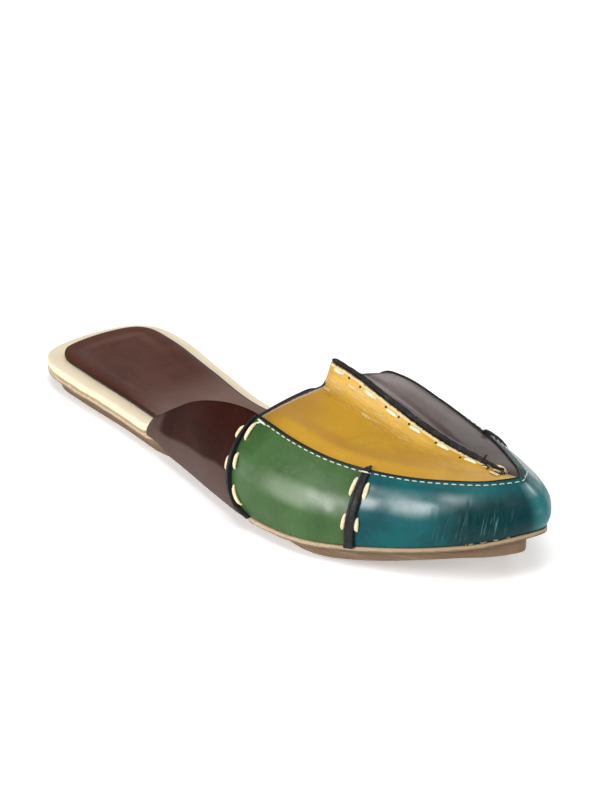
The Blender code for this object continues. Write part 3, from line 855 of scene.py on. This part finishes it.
def thread_finish(name, main, deep):
    look = Finish(name)
    laid = look.laid()
    twist = look.node("ShaderNodeTexWave", {"wave_type": "BANDS", "bands_direction": "DIAGONAL"},
                      {"Vector": laid, "Scale": 0.55, "Distortion": 1.2, "Detail": 2.0})
    fuzz = look.noise(look.place(), 1500.0, 3.0, 0.6)
    look.feed("Base Color", look.mix((twist * 0.3 + fuzz * 0.7).step(0.2, 0.6), deep, main))
    look.feed("Roughness", 0.6 + 0.2 * fuzz)
    look.bump((twist, 0.06), (fuzz, 0.05))
    return look.material


TAN = sole_finish()
LIP = lip_finish()
CREAM = cream_finish()
CREAM_THREAD = thread_finish("cream_waxed_thread", dye(240, 230, 190), dye(206, 186, 136))
PALE_THREAD = thread_finish("pale_ridge_thread", dye(255, 248, 222), dye(226, 204, 150))
WHITE_THREAD = thread_finish("white_thread", dye(228, 230, 220), dye(184, 188, 180))
BLACK_THREAD = thread_finish("black_thread", dye(40, 38, 36), dye(18, 18, 18))


# Sole, board and sock
def wrapped_slab(levels, stations=170, across=26, margins=None):
    """One grid wrapped round the foot's sections: under it, up the outer side, over the top, down the inner
    side."""
    count = len(levels)
    stops = [("flat", 0, k / across) for k in range(across + 1)]
    stops += [("outer", k, 0.0) for k in range(1, count - 1)]
    stops += [("flat", count - 1, 1.0 - k / across) for k in range(across + 1)]
    stops += [("inner", k, 0.0) for k in range(count - 2, 0, -1)] + [("flat", 0, 0.0)]

    def place(s, t):
        sides = [np.interp(s[:, 0] * (len(knots) - 1), np.arange(len(knots)), knots) for knots in PLAN.knots]
        rows = []
        for kind, level, share in stops:
            inset, height = levels[level]
            outer, inner = (ring_point(u, inset(u, PLAN.point(u)[:, 0])) for u in sides)
            flat = {"outer": outer, "inner": inner, "flat": inner + (outer - inner) * share}[kind]
            rows.append(raised(flat, height(flat)))
        return np.stack(rows, axis=1)

    return closed_grid(stations, len(stops) - 1, place, margins)


def ripple(flat, pitch, depth):
    """Small hand-trimmed unevenness along an edge."""
    x, y = flat[..., 0], flat[..., 1]
    a = (x * 0.9 + y * 1.3) / pitch
    return depth * (np.sin(a) + 0.6 * np.sin(2.3 * a + 1.1) + 0.4 * np.sin(5.1 * a + 2.0))


def block_inset(u, x):
    """The block stands in under the heel, more so at the waist, is near the edge at the ball and cut off at
    the toe."""
    fore = ease(170.0, 206.0, x)
    side = BLOCK_INSET_HEEL + (BLOCK_INSET_FORE - BLOCK_INSET_HEEL) * fore
    side = side + (BLOCK_INSET_BACK - BLOCK_INSET_HEEL) * (1.0 - ease(2.0, 22.0, x))
    side = side + (BLOCK_INSET_WAIST - BLOCK_INSET_HEEL) * ease(84.0, 106.0, x) * (1.0 - fore)
    past_tip = ease(-2.0, 0.0, u - PLAN.tip) * ease(215.0, 250.0, x)
    return side + (BLOCK_INSET_TOE - BLOCK_INSET_FORE) * past_tip


def board_inset(u, x):
    start = np.where(u <= PLAN.tip, OUTER_WALL[0, 0], INNER_WALL[0, 0])
    return (WALL + 2.0 * GAP) * ease(start - 3.2, start - 0.6, x)


def at_x(height, more=0.0):
    return lambda flat: height(flat[..., 0]) + more


def midway(low, high):
    return lambda flat: 0.5 * (low(flat[..., 0]) + high(flat[..., 0]))


def moved(inset, more):
    return lambda u, x: inset(u, x) + more


def make_outsole():
    edge = 0.6
    levels = [
        (moved(block_inset, edge), at_x(block_bottom)),
        (moved(block_inset, 0.3 * edge), at_x(block_bottom, 0.15)),
        (block_inset, at_x(block_bottom, edge)),
        (moved(block_inset, -0.08), midway(block_bottom, lip_under)),
        (block_inset, at_x(lip_under, -GAP - 0.3)),
        (moved(block_inset, 0.25), at_x(lip_under, -GAP + 0.1)),
    ]
    finish_piece("outsole_block", wrapped_slab(levels), [TAN], ["outsole"])


def make_lip():
    def trimmed(more):
        def inset(u, x):
            return lip_inset(u, x, 159.5, 166.0) + more + ripple(PLAN.point(u), 5.2, 0.06)
        return inset

    def uneven(height, more):
        return lambda flat: height(flat[..., 0]) + more + ripple(flat, 7.0, 0.08)

    def below_top(spots):
        return lip_top(spots[..., 0]) - spots[..., 2]

    levels = [
        (trimmed(0.5), at_x(lip_under)),
        (trimmed(0.12), uneven(lip_under, 0.2)),
        (trimmed(0.0), uneven(lip_under, 0.6)),
        (trimmed(0.1), midway(lip_under, lip_top)),
        (trimmed(0.0), uneven(lip_top, -0.6)),
        (trimmed(0.1), uneven(lip_top, -0.2)),
        (trimmed(0.5), at_x(lip_top)),
    ]
    layer = wrapped_slab(levels, 240, 26, below_top)
    finish_piece("sole_lip_layer", layer, [LIP], ["sole_lip"])


def make_board():
    edge = 0.9
    levels = [
        (moved(board_inset, 0.5), at_x(lip_top, 0.05)),
        (moved(board_inset, 0.1), at_x(lip_top, 0.3)),
        (board_inset, at_x(lip_top, 0.8)),
        (moved(board_inset, -0.06), at_x(lip_top, 2.0)),
        (board_inset, at_x(board_top, -edge)),
        (moved(board_inset, 0.12), at_x(board_top, -0.5)),
        (moved(board_inset, 0.4), at_x(board_top, -0.15)),
        (moved(board_inset, edge), at_x(board_top)),
    ]
    finish_piece("footbed_wrap", wrapped_slab(levels), [CREAM], ["footbed_board"])


SOCK_RING = ring_point(np.linspace(0.0, PLAN.total, 900), np.full(900, SOCK_INSET))


def from_edge(flat):
    """Millimetres from the cut edge of the sock."""
    points = flat.reshape(-1, 1, 2)
    return np.sqrt(((points - SOCK_RING[None]) ** 2).sum(-1).min(1)).reshape(flat.shape[:-1])


def sock_top(flat):
    """Soft sock: rolled edge, a pressed crease round the heel, a shallow dish."""
    x, y = flat[..., 0], flat[..., 1]
    far = from_edge(flat)
    heel = 1.0 - ease(40.0, 96.0, x)
    dish = 0.7 * HEEL_DISH * (1.0 - ease(70.0, 120.0, x)) * ease(3.0, 16.0, far)
    crease = 0.14 * heel * hump(far, 8.5 + 0.05 * y, 1.6) * (0.5 + 0.5 * ease(24.0, -12.0, y))
    pillow = 0.12 * heel * hump(far, 5.0, 2.2)
    roll = 0.8 * (1.0 - ease(0.0, 2.6, far))
    return board_top(x) + GAP + SOCK_THICK - dish - crease + pillow - roll


def make_sock():
    def foot(more):
        return at_x(board_top, GAP + more)

    def inset(more):
        def rolled(u, x):
            heel, back = 1.0 - ease(20.0, 70.0, x), 1.0 - ease(4.0, 16.0, x)
            return SOCK_INSET + 0.7 * heel + 0.8 * back + more
        return rolled

    def from_rim(spots):
        return from_edge(spots[..., :2])

    levels = [
        (inset(0.3), foot(0.0)),
        (inset(0.0), foot(0.4)),
        (inset(0.0), foot(1.0)),
        (inset(0.15), foot(1.5)),
        (inset(0.45), sock_top),
    ]
    slab = wrapped_slab(levels, 220, 70, from_rim)
    sock = finish_piece("insole_sock", slab, [SOCK], ["insole"])


# Leather of the upper
def stitch_pucker(u, v, path, outer, heights):
    """Leather drawn in at the hand stitches beside a seam."""
    away = np.abs(PLAN.arc(u) - PLAN.arc(PLAN.at(path(v), outer)))
    pull = sum(hump(v, h, PUCKER_HIGH) for h in heights)
    return -PUCKER_DEPTH * pull * np.exp(-away / PUCKER_REACH)


def green_relief(u, v):
    arc = PLAN.arc(u)
    start, end = PLAN.arc(PLAN.at(160.0, True)), PLAN.arc(PLAN.at(209.0, True))
    share = (arc - start) / (end - start)
    dents = -0.35 * hump(share, 0.32, 0.12) * hump(v, 0.30, 0.22)
    dents = dents + 0.25 * hump(share, 0.62, 0.2) * hump(v, 0.62, 0.18)
    folds = sum(-0.14 * hump(share, c, 0.012) * hump(v, 0.10, 0.12)
                for c in (0.44, 0.475, 0.51, 0.56, 0.9, 0.93))
    pulls = stitch_pucker(u, v, front_seam, True, (0.80, 0.35))
    pulls = pulls + stitch_pucker(u, v, rear_seam, True, (0.87, 0.55, 0.15))
    pulls = pulls + 0.6 * hump(share, 0.9, 0.10) * hump(v, 0.42, 0.13)
    return dents + folds + pulls


def teal_relief(u, v):
    arc = PLAN.arc(u)
    start = PLAN.arc(PLAN.at(238.0, True))
    folds = np.zeros(np.shape(arc))
    for k in range(15):
        centre = start + 1.9 * k + 0.7 * math.sin(2.1 * k) + 1.6 * (v - 0.4) * math.sin(1.3 * k)
        window = between(0.06 + 0.05 * math.sin(1.7 * k), 0.52 + 0.2 * math.sin(0.9 * k + 1.0), 0.14, v)
        high = (0.19 + 0.08 * math.sin(2.7 * k)) * (0.1 if k < 6 else 1.0)
        folds = folds + high * hump(arc, centre, 0.6) * window
    hollow = -0.8 * hump(arc, PLAN.arc(PLAN.at(257.5, True)), 6.0) * hump(v, 0.5, 0.26)
    dents = -0.1 * hump(arc, PLAN.arc(PLAN.at(231.0, True)), 6.0) * hump(v, 0.45, 0.2)
    dents = dents + 0.5 * hump(arc, PLAN.arc(PLAN.at(219.0, True)), 5.0) * hump(v, 0.62, 0.14)
    dents = dents + 0.5 * hump(arc, PLAN.arc(PLAN.at(240.0, True)), 7.0) * hump(v, 0.72, 0.14)
    pulls = stitch_pucker(u, v, front_seam, True, (0.79, 0.33))
    pulls = pulls + stitch_pucker(u, v, inner_seam, False, (0.79, 0.33))
    return folds + hollow + dents + pulls


def brown_relief(u, v):
    arc = PLAN.arc(u) - PLAN.arc(PLAN.at(120.0, True))
    hollow = -0.3 * hump(arc + 14.0 * (v - 0.5), 0.0, 9.0) * hump(v, 0.5, 0.3)
    return hollow + stitch_pucker(u, v, rear_seam, True, (0.85, 0.46))


def no_relief(u, v):
    return np.zeros(np.shape(v))


def wall_panel(name, start, end, relief, columns, rows, finishes):
    """Piece of the wall between two lines that run up from the sole."""
    def place(s, t):
        u = start(t) + (end(t) - start(t)) * s
        return skin_point(u, t, relief(u, t))

    leather_sheet(name, columns, rows, place, finishes, LEATHER, 0.18)


def still(value):
    return lambda v: np.full(np.shape(v), value)


def seam_line(path, outer):
    return lambda v: PLAN.at(path(v), outer)


def make_walls():
    rear, front = seam_line(rear_seam, True), seam_line(front_seam, True)
    inner = seam_line(inner_seam, False)
    wall_panel("quarter_outer_brown", still(WALL_START), rear, brown_relief, 100, 46, [BROWN, BROWN_CUT])
    wall_panel("side_outer_green", rear, front, green_relief, 110, 54, [GREEN, BLACK_EDGE])
    wall_panel("toe_wrap_teal", front, inner, teal_relief, 300, 54, [TEAL, BLACK_EDGE])
    wall_panel("side_inner_green", inner, still(WALL_END), no_relief, 150, 46, [INNER_GREEN, BLACK_EDGE])


def panel_far(u, share):
    """Millimetres from the side of the ridge on a top panel."""
    return (ridge_reach(u) - ridge_half(ridge_share(u))) * (1.0 - share)


def yellow_relief(u, share):
    w, far = ridge_share(u), panel_far(u, share)
    lines = ((5.6, 0.04, 0.34, 0.20), (7.0, 0.08, 0.50, 0.24), (8.3, 0.20, 0.46, 0.16),
             (9.8, 0.10, 0.30, 0.14), (4.4, 0.30, 0.62, 0.16), (6.2, 0.50, 0.70, 0.14))
    wrinkles = sum(-depth * hump(far + 0.5 * np.sin(34.0 * w + at), at, 0.5) * between(a, b, 0.05, w)
                   for at, a, b, depth in lines)
    lap_far = ridge_reach(u) * share
    swell = 0.55 * hump(lap_far, 7.4, 4.4) * between(0.06, 0.66, 0.12, w)
    return wrinkles + swell


def dark_relief(u, share):
    w = ridge_share(u)
    line = share - (0.506 + 0.355 * (w - 0.045))
    long_crease = -0.6 * hump(line * ridge_reach(u), 0.0, 1.6) * between(0.03, 0.55, 0.06, w)
    second = -0.35 * hump((share - 0.72) * ridge_reach(u), 0.0, 1.1) * between(0.25, 0.62, 0.08, w)
    return long_crease + second + 0.25 * hump(share, 0.3, 0.15) * between(0.1, 0.5, 0.1, w)


def top_panel_place(outer, relief, depth=0.0, back=0.0):
    """Place function of a top panel from the lap to the ridge, on one side of the shoe."""
    def place(s, t):
        w = s if outer else 1.0 - s
        u = facing(w, outer)
        share = -0.03 + 1.03 * t
        spots = top_panel_point(u, share, relief(u, np.clip(share, 0.0, 1.0)))
        if depth:
            normal = unit(np.cross(np.gradient(spots, axis=0), np.gradient(spots, axis=1)))
            spots = spots + normal * depth
        spots[..., 0] -= back * (1.0 - ease(0.0, 0.03, w)) * (1.0 - 0.9 * ease(0.72, 0.9, share))
        return spots
    return place


def make_tops():
    for name, outer, relief, finish in (("top_outer_yellow", True, yellow_relief, YELLOW),
                                        ("top_inner_dark_brown", False, dark_relief, DARK_BROWN)):
        leather_sheet(name, 170, 84, top_panel_place(outer, relief), [finish, RAW_EDGE], TOP_LEATHER, 0.15)
        under = top_panel_place(outer, no_relief, -LINING_UNDER, back=LINING_BACK)
        leather_sheet("lining_" + name[:9], 120, 60, under, [LINING, BLACK_EDGE], TOP_LINING, 0.15)


def make_lining():
    def place(s, t):
        u = WALL_START + (WALL_END - WALL_START) * s
        return skin_point(u, t, np.full(t.shape, -LEATHER - 0.05))

    leather_sheet("lining_wall", 300, 40, place, [LINING, BROWN_CUT], WALL_LINING, 0.2)


# Black raised edges
STRIP = np.array((
    (-1.0, -0.12), (-1.01, 0.40), (-0.98, 0.80), (-0.86, 0.97), (-0.55, 1.0), (-0.34, 0.97), (-0.25, 0.91),
    (-0.15, 0.97), (0.10, 1.0), (0.60, 1.0), (0.87, 0.96), (0.98, 0.78), (1.01, 0.40), (1.0, -0.12)))


def strip_section(t):
    """Side and height of a two-ply raised edge for a share round its section."""
    loop = np.concatenate([STRIP, STRIP[:1]])
    keys = np.linspace(0.0, 1.0, len(loop))
    return smooth(keys, loop[:, 0], t), smooth(keys, loop[:, 1], t)


def make_side_seam(name, node, path, outer, half, high, end):
    """Two-ply edge that runs up the wall from the lip and grows slimmer to its end at or just past the lap."""
    sign = 1.0 if outer else -1.0

    def place(s, t):
        v = -0.02 + (end + 0.02) * s
        side, height = strip_section(t)
        taper = np.sqrt(np.clip(np.minimum(s / 0.012, (1.0 - s) / 0.02), 0.0, 1.0))
        flare = 1.0 + 0.12 * (1.0 - ease(0.0, 0.10, v))
        slim = (1.0 - 0.28 * ease(0.6, 0.95, v)) * (1.0 - 0.6 * ease(0.95, 1.05, v))
        wave = 0.06 * np.sin(31.0 * v + 2.0 * side) + 0.04 * np.sin(83.0 * v + 1.0)
        u = PLAN.at(path(v), outer)
        u = PLAN.step(u, sign * (side * half * flare * slim + wave) * taper)
        lifted = 0.25 + (height * high * slim + 0.5 * wave) * taper
        below = np.minimum(v, 0.0)[..., None] * np.array((0.0, 0.0, 30.0))
        return skin_point(u, np.maximum(v, 0.0), lifted) + below

    finish_piece(name, closed_grid(120, 42, place), [BLACK_SEAM], [node])


def make_ridge_edge():
    across = np.array((-RIDGE_RAY[1], RIDGE_RAY[0]))

    def place(s, t):
        w = 0.965 * s
        side, height = strip_section(t)
        taper = np.sqrt(np.clip(np.minimum(s / 0.014, (1.0 - s) / 0.12), 0.0, 1.0))
        slim = 0.52 + 0.1 * ease(0.0, 0.5, w)
        half = slim * (0.5 + 0.7 * ridge_half(w))
        low = np.maximum(*(top_panel_point(facing(w, o), np.ones_like(w))[..., 2] for o in (True, False)))
        wave = 0.07 * np.sin(33.0 * w + 1.5 * side) + 0.05 * np.sin(117.0 * w + 2.2 * side)
        flat = ridge_plan(w) + across * ((side * half + wave) * taper)[..., None]
        flat = flat - RIDGE_RAY * (1.2 * (1.0 - ease(0.0, 0.02, w)))[..., None]
        return raised(flat, low + 0.15 + ((RIDGE_EDGE_HIGH + 0.3) * slim * height + 0.6 * wave) * taper)

    finish_piece("ridge_raw_edge", closed_grid(220, 42, place), [BLACK_EDGE], ["ridge_edge"])


# Threads
def add_thread(bm, path, width, high, columns=10, rows=8, tone=0):
    """One stitch: a flattened thread along path(s), which returns points and outward normals, tucked in at
    both ends."""
    def place(s, t):
        spots, out = path(s)
        along = unit(np.gradient(spots, axis=0))
        side = unit(np.cross(out, along))
        girth = np.clip(1.0 - np.abs(2.0 * s - 1.0) ** 2.6, 0.0, 1.0) ** 0.55
        a = 2.0 * math.pi * t
        wide, tall = 0.5 * width * girth * np.sin(a), 0.5 * high * girth * np.cos(a)
        return spots + side * wide[..., None] + out * tall[..., None]
    for face in {face for vert in lay_grid(bm, columns, rows, place) for face in vert.link_faces}:
        face.material_index = tone


def wall_thread(path, outer, v, offset, length, lean=0.0, rise=0.5):
    """Path of a stitch on the wall beside a seam."""
    sign = 1.0 if outer else -1.0

    def walk(s):
        up = v + (s - 0.5) * length / WALL_HIGH
        u = PLAN.step(PLAN.at(path(up), outer), sign * (offset + lean * (s - 0.5)))
        sink = rise - 0.9 * (2.0 * s - 1.0) ** 4
        return skin_point(u, up, sink), base_normal(u, up)
    return walk


# Height up the wall, place beside the seam and length of each hand stitch
SEAM_STITCHES = (
    (rear_seam, True, ((0.81, -2.3, 4.2), (0.50, -2.4, 5.6), (0.855, 2.6, 5.6), (0.565, 2.5, 5.6),
                       (0.22, 2.5, 7.0))),
    (front_seam, True, ((0.79, -2.5, 7.2), (0.345, -2.65, 7.8), (0.76, 2.65, 7.2), (0.325, 2.5, 6.8))),
    (inner_seam, False, ((0.64, -2.8, 7.2), (0.28, -2.8, 7.2), (0.62, 2.8, 7.2), (0.26, 2.8, 7.2))))


def make_seam_stitches():
    bm = bmesh.new()
    for path, outer, places in SEAM_STITCHES:
        for v, offset, length in places:
            walk = wall_thread(path, outer, v, offset, length, lean=-0.5 * np.sign(offset))
            add_thread(bm, walk, 1.75, 1.35, 18, 12)
    closed(bm)
    finish_piece("seam_hand_stitches", bm, [CREAM_THREAD])


def make_machine_stitches():
    """Row of white stitches under the lap edge, with its thick start at the rear seam and one stitch over the
    front seam."""
    bm = bmesh.new()
    pitch, dash = 2.95, 2.35
    u_line = U_OUTER + (U_INNER - U_OUTER) * np.linspace(0.0, 1.0, 4000)
    edge = wall_point(u_line, np.full(4000, 0.95))
    run = np.concatenate([[0.0], np.cumsum(np.linalg.norm(np.diff(edge, axis=0), axis=1))])

    def stitch(first, length, below, rise, width, drift=0.0):
        def walk(s):
            u = np.interp(first + length * s, run, u_line)
            tall = wall_row(u, 2) - lip_top(PLAN.point(u)[..., 0])
            v = 1.0 - (below + drift * (s - 0.5)) / tall
            return skin_point(u, v, rise - 0.5 * (2.0 * s - 1.0) ** 4), base_normal(u, v)
        add_thread(bm, walk, width, 0.8 * width, 6, 6)

    crossing, tip = (float(np.interp(u, u_line, run)) for u in (PLAN.at(front_seam(1.0), True), PLAN.tip))
    for k in range(2, int(run[-1] / pitch)):
        first = k * pitch + 0.4
        toe = float(ease(crossing - 6.0, crossing + 4.0, first))
        inner = float(ease(tip, tip + 8.0, first))
        stitch(first, dash, 1.2 - 0.2 * toe + 0.95 * inner, 0.2, 0.45 - 0.04 * toe)
    stitch(0.2, 6.4, 1.3, 0.4, 0.95, drift=0.3)
    stitch(0.4, 3.6, 2.0, 0.5, 0.75, drift=-1.5)
    stitch(crossing - 2.2, 3.8, 1.6, 2.0, 0.62)
    closed(bm)
    finish_piece("lap_machine_stitches", bm, [WHITE_THREAD])


# Place along the ridge, place on the panel and length of each stitch, and places of the needle holes
RIDGE_STITCHES = ((0.055, 0.985, 5.2), (0.243, 0.981, 6.0), (0.371, 0.969, 6.0), (0.503, 0.961, 5.6),
                  (0.652, 0.945, 5.6), (0.793, 0.90, 5.6))
NEEDLE_HOLES = ((0.116, 0.985), (0.183, 0.981), (0.334, 0.977), (0.409, 0.973), (0.467, 0.973),
                (0.616, 0.954), (0.744, 0.90), (0.877, 0.822))


def ridge_thread(w, share, length, outer, rise, sink, climb=0.0):
    """Path of a thread on a top panel beside the ridge."""
    def walk(s):
        u = facing(np.clip(w + (s - 0.5) * length / RIDGE_LONG, 0.002, 0.999), outer)
        at = np.clip(share + climb * (s - 0.5), 0.0, 1.0)
        spots = top_panel_point(u, at)
        up = spots - top_panel_point(u, at - 0.02)
        out = unit(np.cross(unit(np.gradient(spots, axis=0)), up) * (1.0 if outer else -1.0))
        return spots + out * (rise - sink * (2.0 * s - 1.0) ** 4)[..., None], out
    return walk


def make_ridge_stitches():
    bm = bmesh.new()
    for w, share, length in RIDGE_STITCHES:
        add_thread(bm, ridge_thread(w, share, length, True, 0.42, 0.9), 1.35, 0.9, 16, 10)
    for w, share in NEEDLE_HOLES:
        add_thread(bm, ridge_thread(w, share, 1.0, True, 0.06, 0.1), 0.95, 0.3, 8, 8, tone=1)
    closed(bm)
    finish_piece("ridge_hand_stitches", bm, [PALE_THREAD, BLACK_THREAD])


def make_ridge_end():
    """Frayed thread ends and scraps of leather where the ridge runs out at the toe, and one black end that
    stands up."""
    bm = bmesh.new()
    for k in range(42):
        a, b, c = (k * 0.618) % 1.0, (k * 0.381 + 0.2) % 1.0, (k * 0.727 + 0.4) % 1.0
        outer = k % 3 != 2
        w = 0.868 + 0.124 * a
        share = 0.99 - (0.6 if outer else 0.3) * b * (0.5 + 0.5 * (1.0 - a))
        climb = 0.30 * math.sin(2.4 * k)
        path = ridge_thread(w, share, 1.4 + 2.4 * c, outer, 0.3 + 0.3 * b, 0.5, climb)
        add_thread(bm, path, 0.38 + 0.34 * c, 0.4 + 0.2 * a, 8, 8, tone=(0, 1, 2, 1)[k % 4])
    along = np.append(RIDGE_RAY, 0.0)
    foot = np.append(ridge_plan(np.array(0.865)), float(column(RIDGE, 2, 0.865)) - 0.6)

    def stand(s):
        bend = np.array((0.0, 0.0, 2.4)) * s[..., None] + along * (1.3 * s ** 2)[..., None]
        return foot + bend, np.broadcast_to(np.array((-along[1], along[0], 0.0)), s.shape + (3,))

    add_thread(bm, stand, 0.9, 0.7, 10, 8, tone=1)
    closed(bm)
    finish_piece("ridge_end_fray", bm, [CREAM_THREAD, BLACK_EDGE, RAW_EDGE])


def make_glue_bits():
    """Small beads of glue squeezed out between the toe wrap and the lip."""
    bm = bmesh.new()
    for k in range(9):
        spot = still(249.0 + 1.25 * k + 0.5 * math.sin(2.9 * k))
        walk = wall_thread(spot, True, 0.012, 0.0, 0.7, lean=2.4 * math.sin(1.9 * k), rise=0.15)
        add_thread(bm, walk, 0.6 + 0.2 * math.sin(1.3 * k), 0.5, 8, 8, tone=k % 3 // 2)
    closed(bm)
    finish_piece("toe_glue_bits", bm, [LIP, DARK_BROWN])


make_outsole()
make_lip()
make_board()
make_sock()
make_lining()
make_walls()
make_tops()
make_side_seam("seam_edge_rear_outer", "side_seam_rear_lateral", rear_seam, True, 0.76, 1.5, 1.0)
make_side_seam("seam_edge_front_outer", "side_seam_front_lateral", front_seam, True, 1.8, 1.5, 1.07)
make_side_seam("seam_edge_front_inner", "side_seam_front_medial", inner_seam, False, 1.5, 1.5, 1.07)
make_ridge_edge()
make_seam_stitches()
make_machine_stitches()
make_ridge_stitches()
make_ridge_end()
make_glue_bits()


# Floor, light and camera
FLOOR_GLOW, WORLD_GLOW = 0.35, 0.1
CAMERA_TURN, CAMERA_RISE = math.radians(50.44), math.radians(24.72)
CAMERA_AIM, CAMERA_AWAY = (132.0, 6.48, 27.29), 1.5574
FOCAL_PIXELS, FRAME_PIXELS, SENSOR = 4057.0, 800.0, 36.0

# Name, place, aim and size in metres, and power of each soft light
LIGHTS = (
    ("top_softbox", (0.35, -0.2, 1.95), (0.0, 0.0, 0.0), (1.1, 1.1), 16.5),
    ("toe_softbox", (0.05, 1.41, 1.41), (0.05, 0.0, 0.03), (0.45, 0.35), 4.5),
    ("front_softbox", (0.07, -1.60, 0.63), (0.0, 0.0, 0.03), (0.45, 1.25), 16.0),
    ("front_fill", (-0.53, -1.45, 0.75), (0.0, 0.0, 0.03), (0.6, 0.8), 5.5),
    ("high_fill", (0.70, -0.62, 1.60), (0.05, 0.0, 0.0), (0.8, 0.8), 5.0),
    ("back_softbox", (-1.07, 1.28, 0.67), (0.0, 0.0, 0.03), (1.0, 0.6), 4.0),
    ("right_fill", (1.38, 0.72, 0.52), (0.1, 0.0, 0.03), (0.6, 0.6), 7.5))


def make_floor():
    bm = bmesh.new()
    bmesh.ops.create_grid(bm, x_segments=8, y_segments=8, size=6.0)
    mesh = bpy.data.meshes.new("floor")
    bm.to_mesh(mesh)
    bm.free()
    floor = bpy.data.objects.new("floor", mesh)
    look = Finish("white_floor", Roughness=0.75, Emission_Color=(1.0, 1.0, 1.0, 1.0),
                  Emission_Strength=FLOOR_GLOW)
    cloud = look.noise(look.place(), 3.0)
    look.feed("Base Color", look.mix(cloud, (0.93, 0.93, 0.93, 1.0), (0.91, 0.91, 0.91, 1.0)))
    mesh.materials.append(look.material)
    HOME.objects.link(floor)


def add_light(name, spot, aim, size, power):
    lamp = bpy.data.lights.new(name, "AREA")
    lamp.shape = "RECTANGLE"
    lamp.size, lamp.size_y = size
    lamp.energy = power
    holder = bpy.data.objects.new(name, lamp)
    holder.location = spot
    holder.rotation_euler = (Vector(aim) - Vector(spot)).to_track_quat("-Z", "Y").to_euler()
    HOME.objects.link(holder)


def make_studio():
    world = bpy.data.worlds.new("studio")
    world.use_nodes = True
    shade = world.node_tree.nodes["Background"]
    shade.inputs["Color"].default_value = (1.0, 1.0, 1.0, 1.0)
    shade.inputs["Strength"].default_value = WORLD_GLOW
    bpy.context.scene.world = world
    bpy.context.scene.view_settings.view_transform = "Standard"
    for light in LIGHTS:
        add_light(*light)


def make_camera():
    x, y, z = CAMERA_AIM
    aim = Vector(((x - SHIFT[0]) * MM, (y - SHIFT[1]) * MM, z * MM))
    level = math.cos(CAMERA_RISE)
    back = Vector((math.sin(CAMERA_TURN) * level, -math.cos(CAMERA_TURN) * level, math.sin(CAMERA_RISE)))
    lens = bpy.data.cameras.new("photo_view")
    lens.lens = FOCAL_PIXELS / FRAME_PIXELS * SENSOR
    lens.sensor_width = SENSOR
    holder = bpy.data.objects.new("photo_view", lens)
    holder.location = aim + back * CAMERA_AWAY
    holder.rotation_euler = (-back).to_track_quat("-Z", "Y").to_euler()
    HOME.objects.link(holder)
    bpy.context.scene.camera = holder


make_floor()
make_studio()
make_camera()
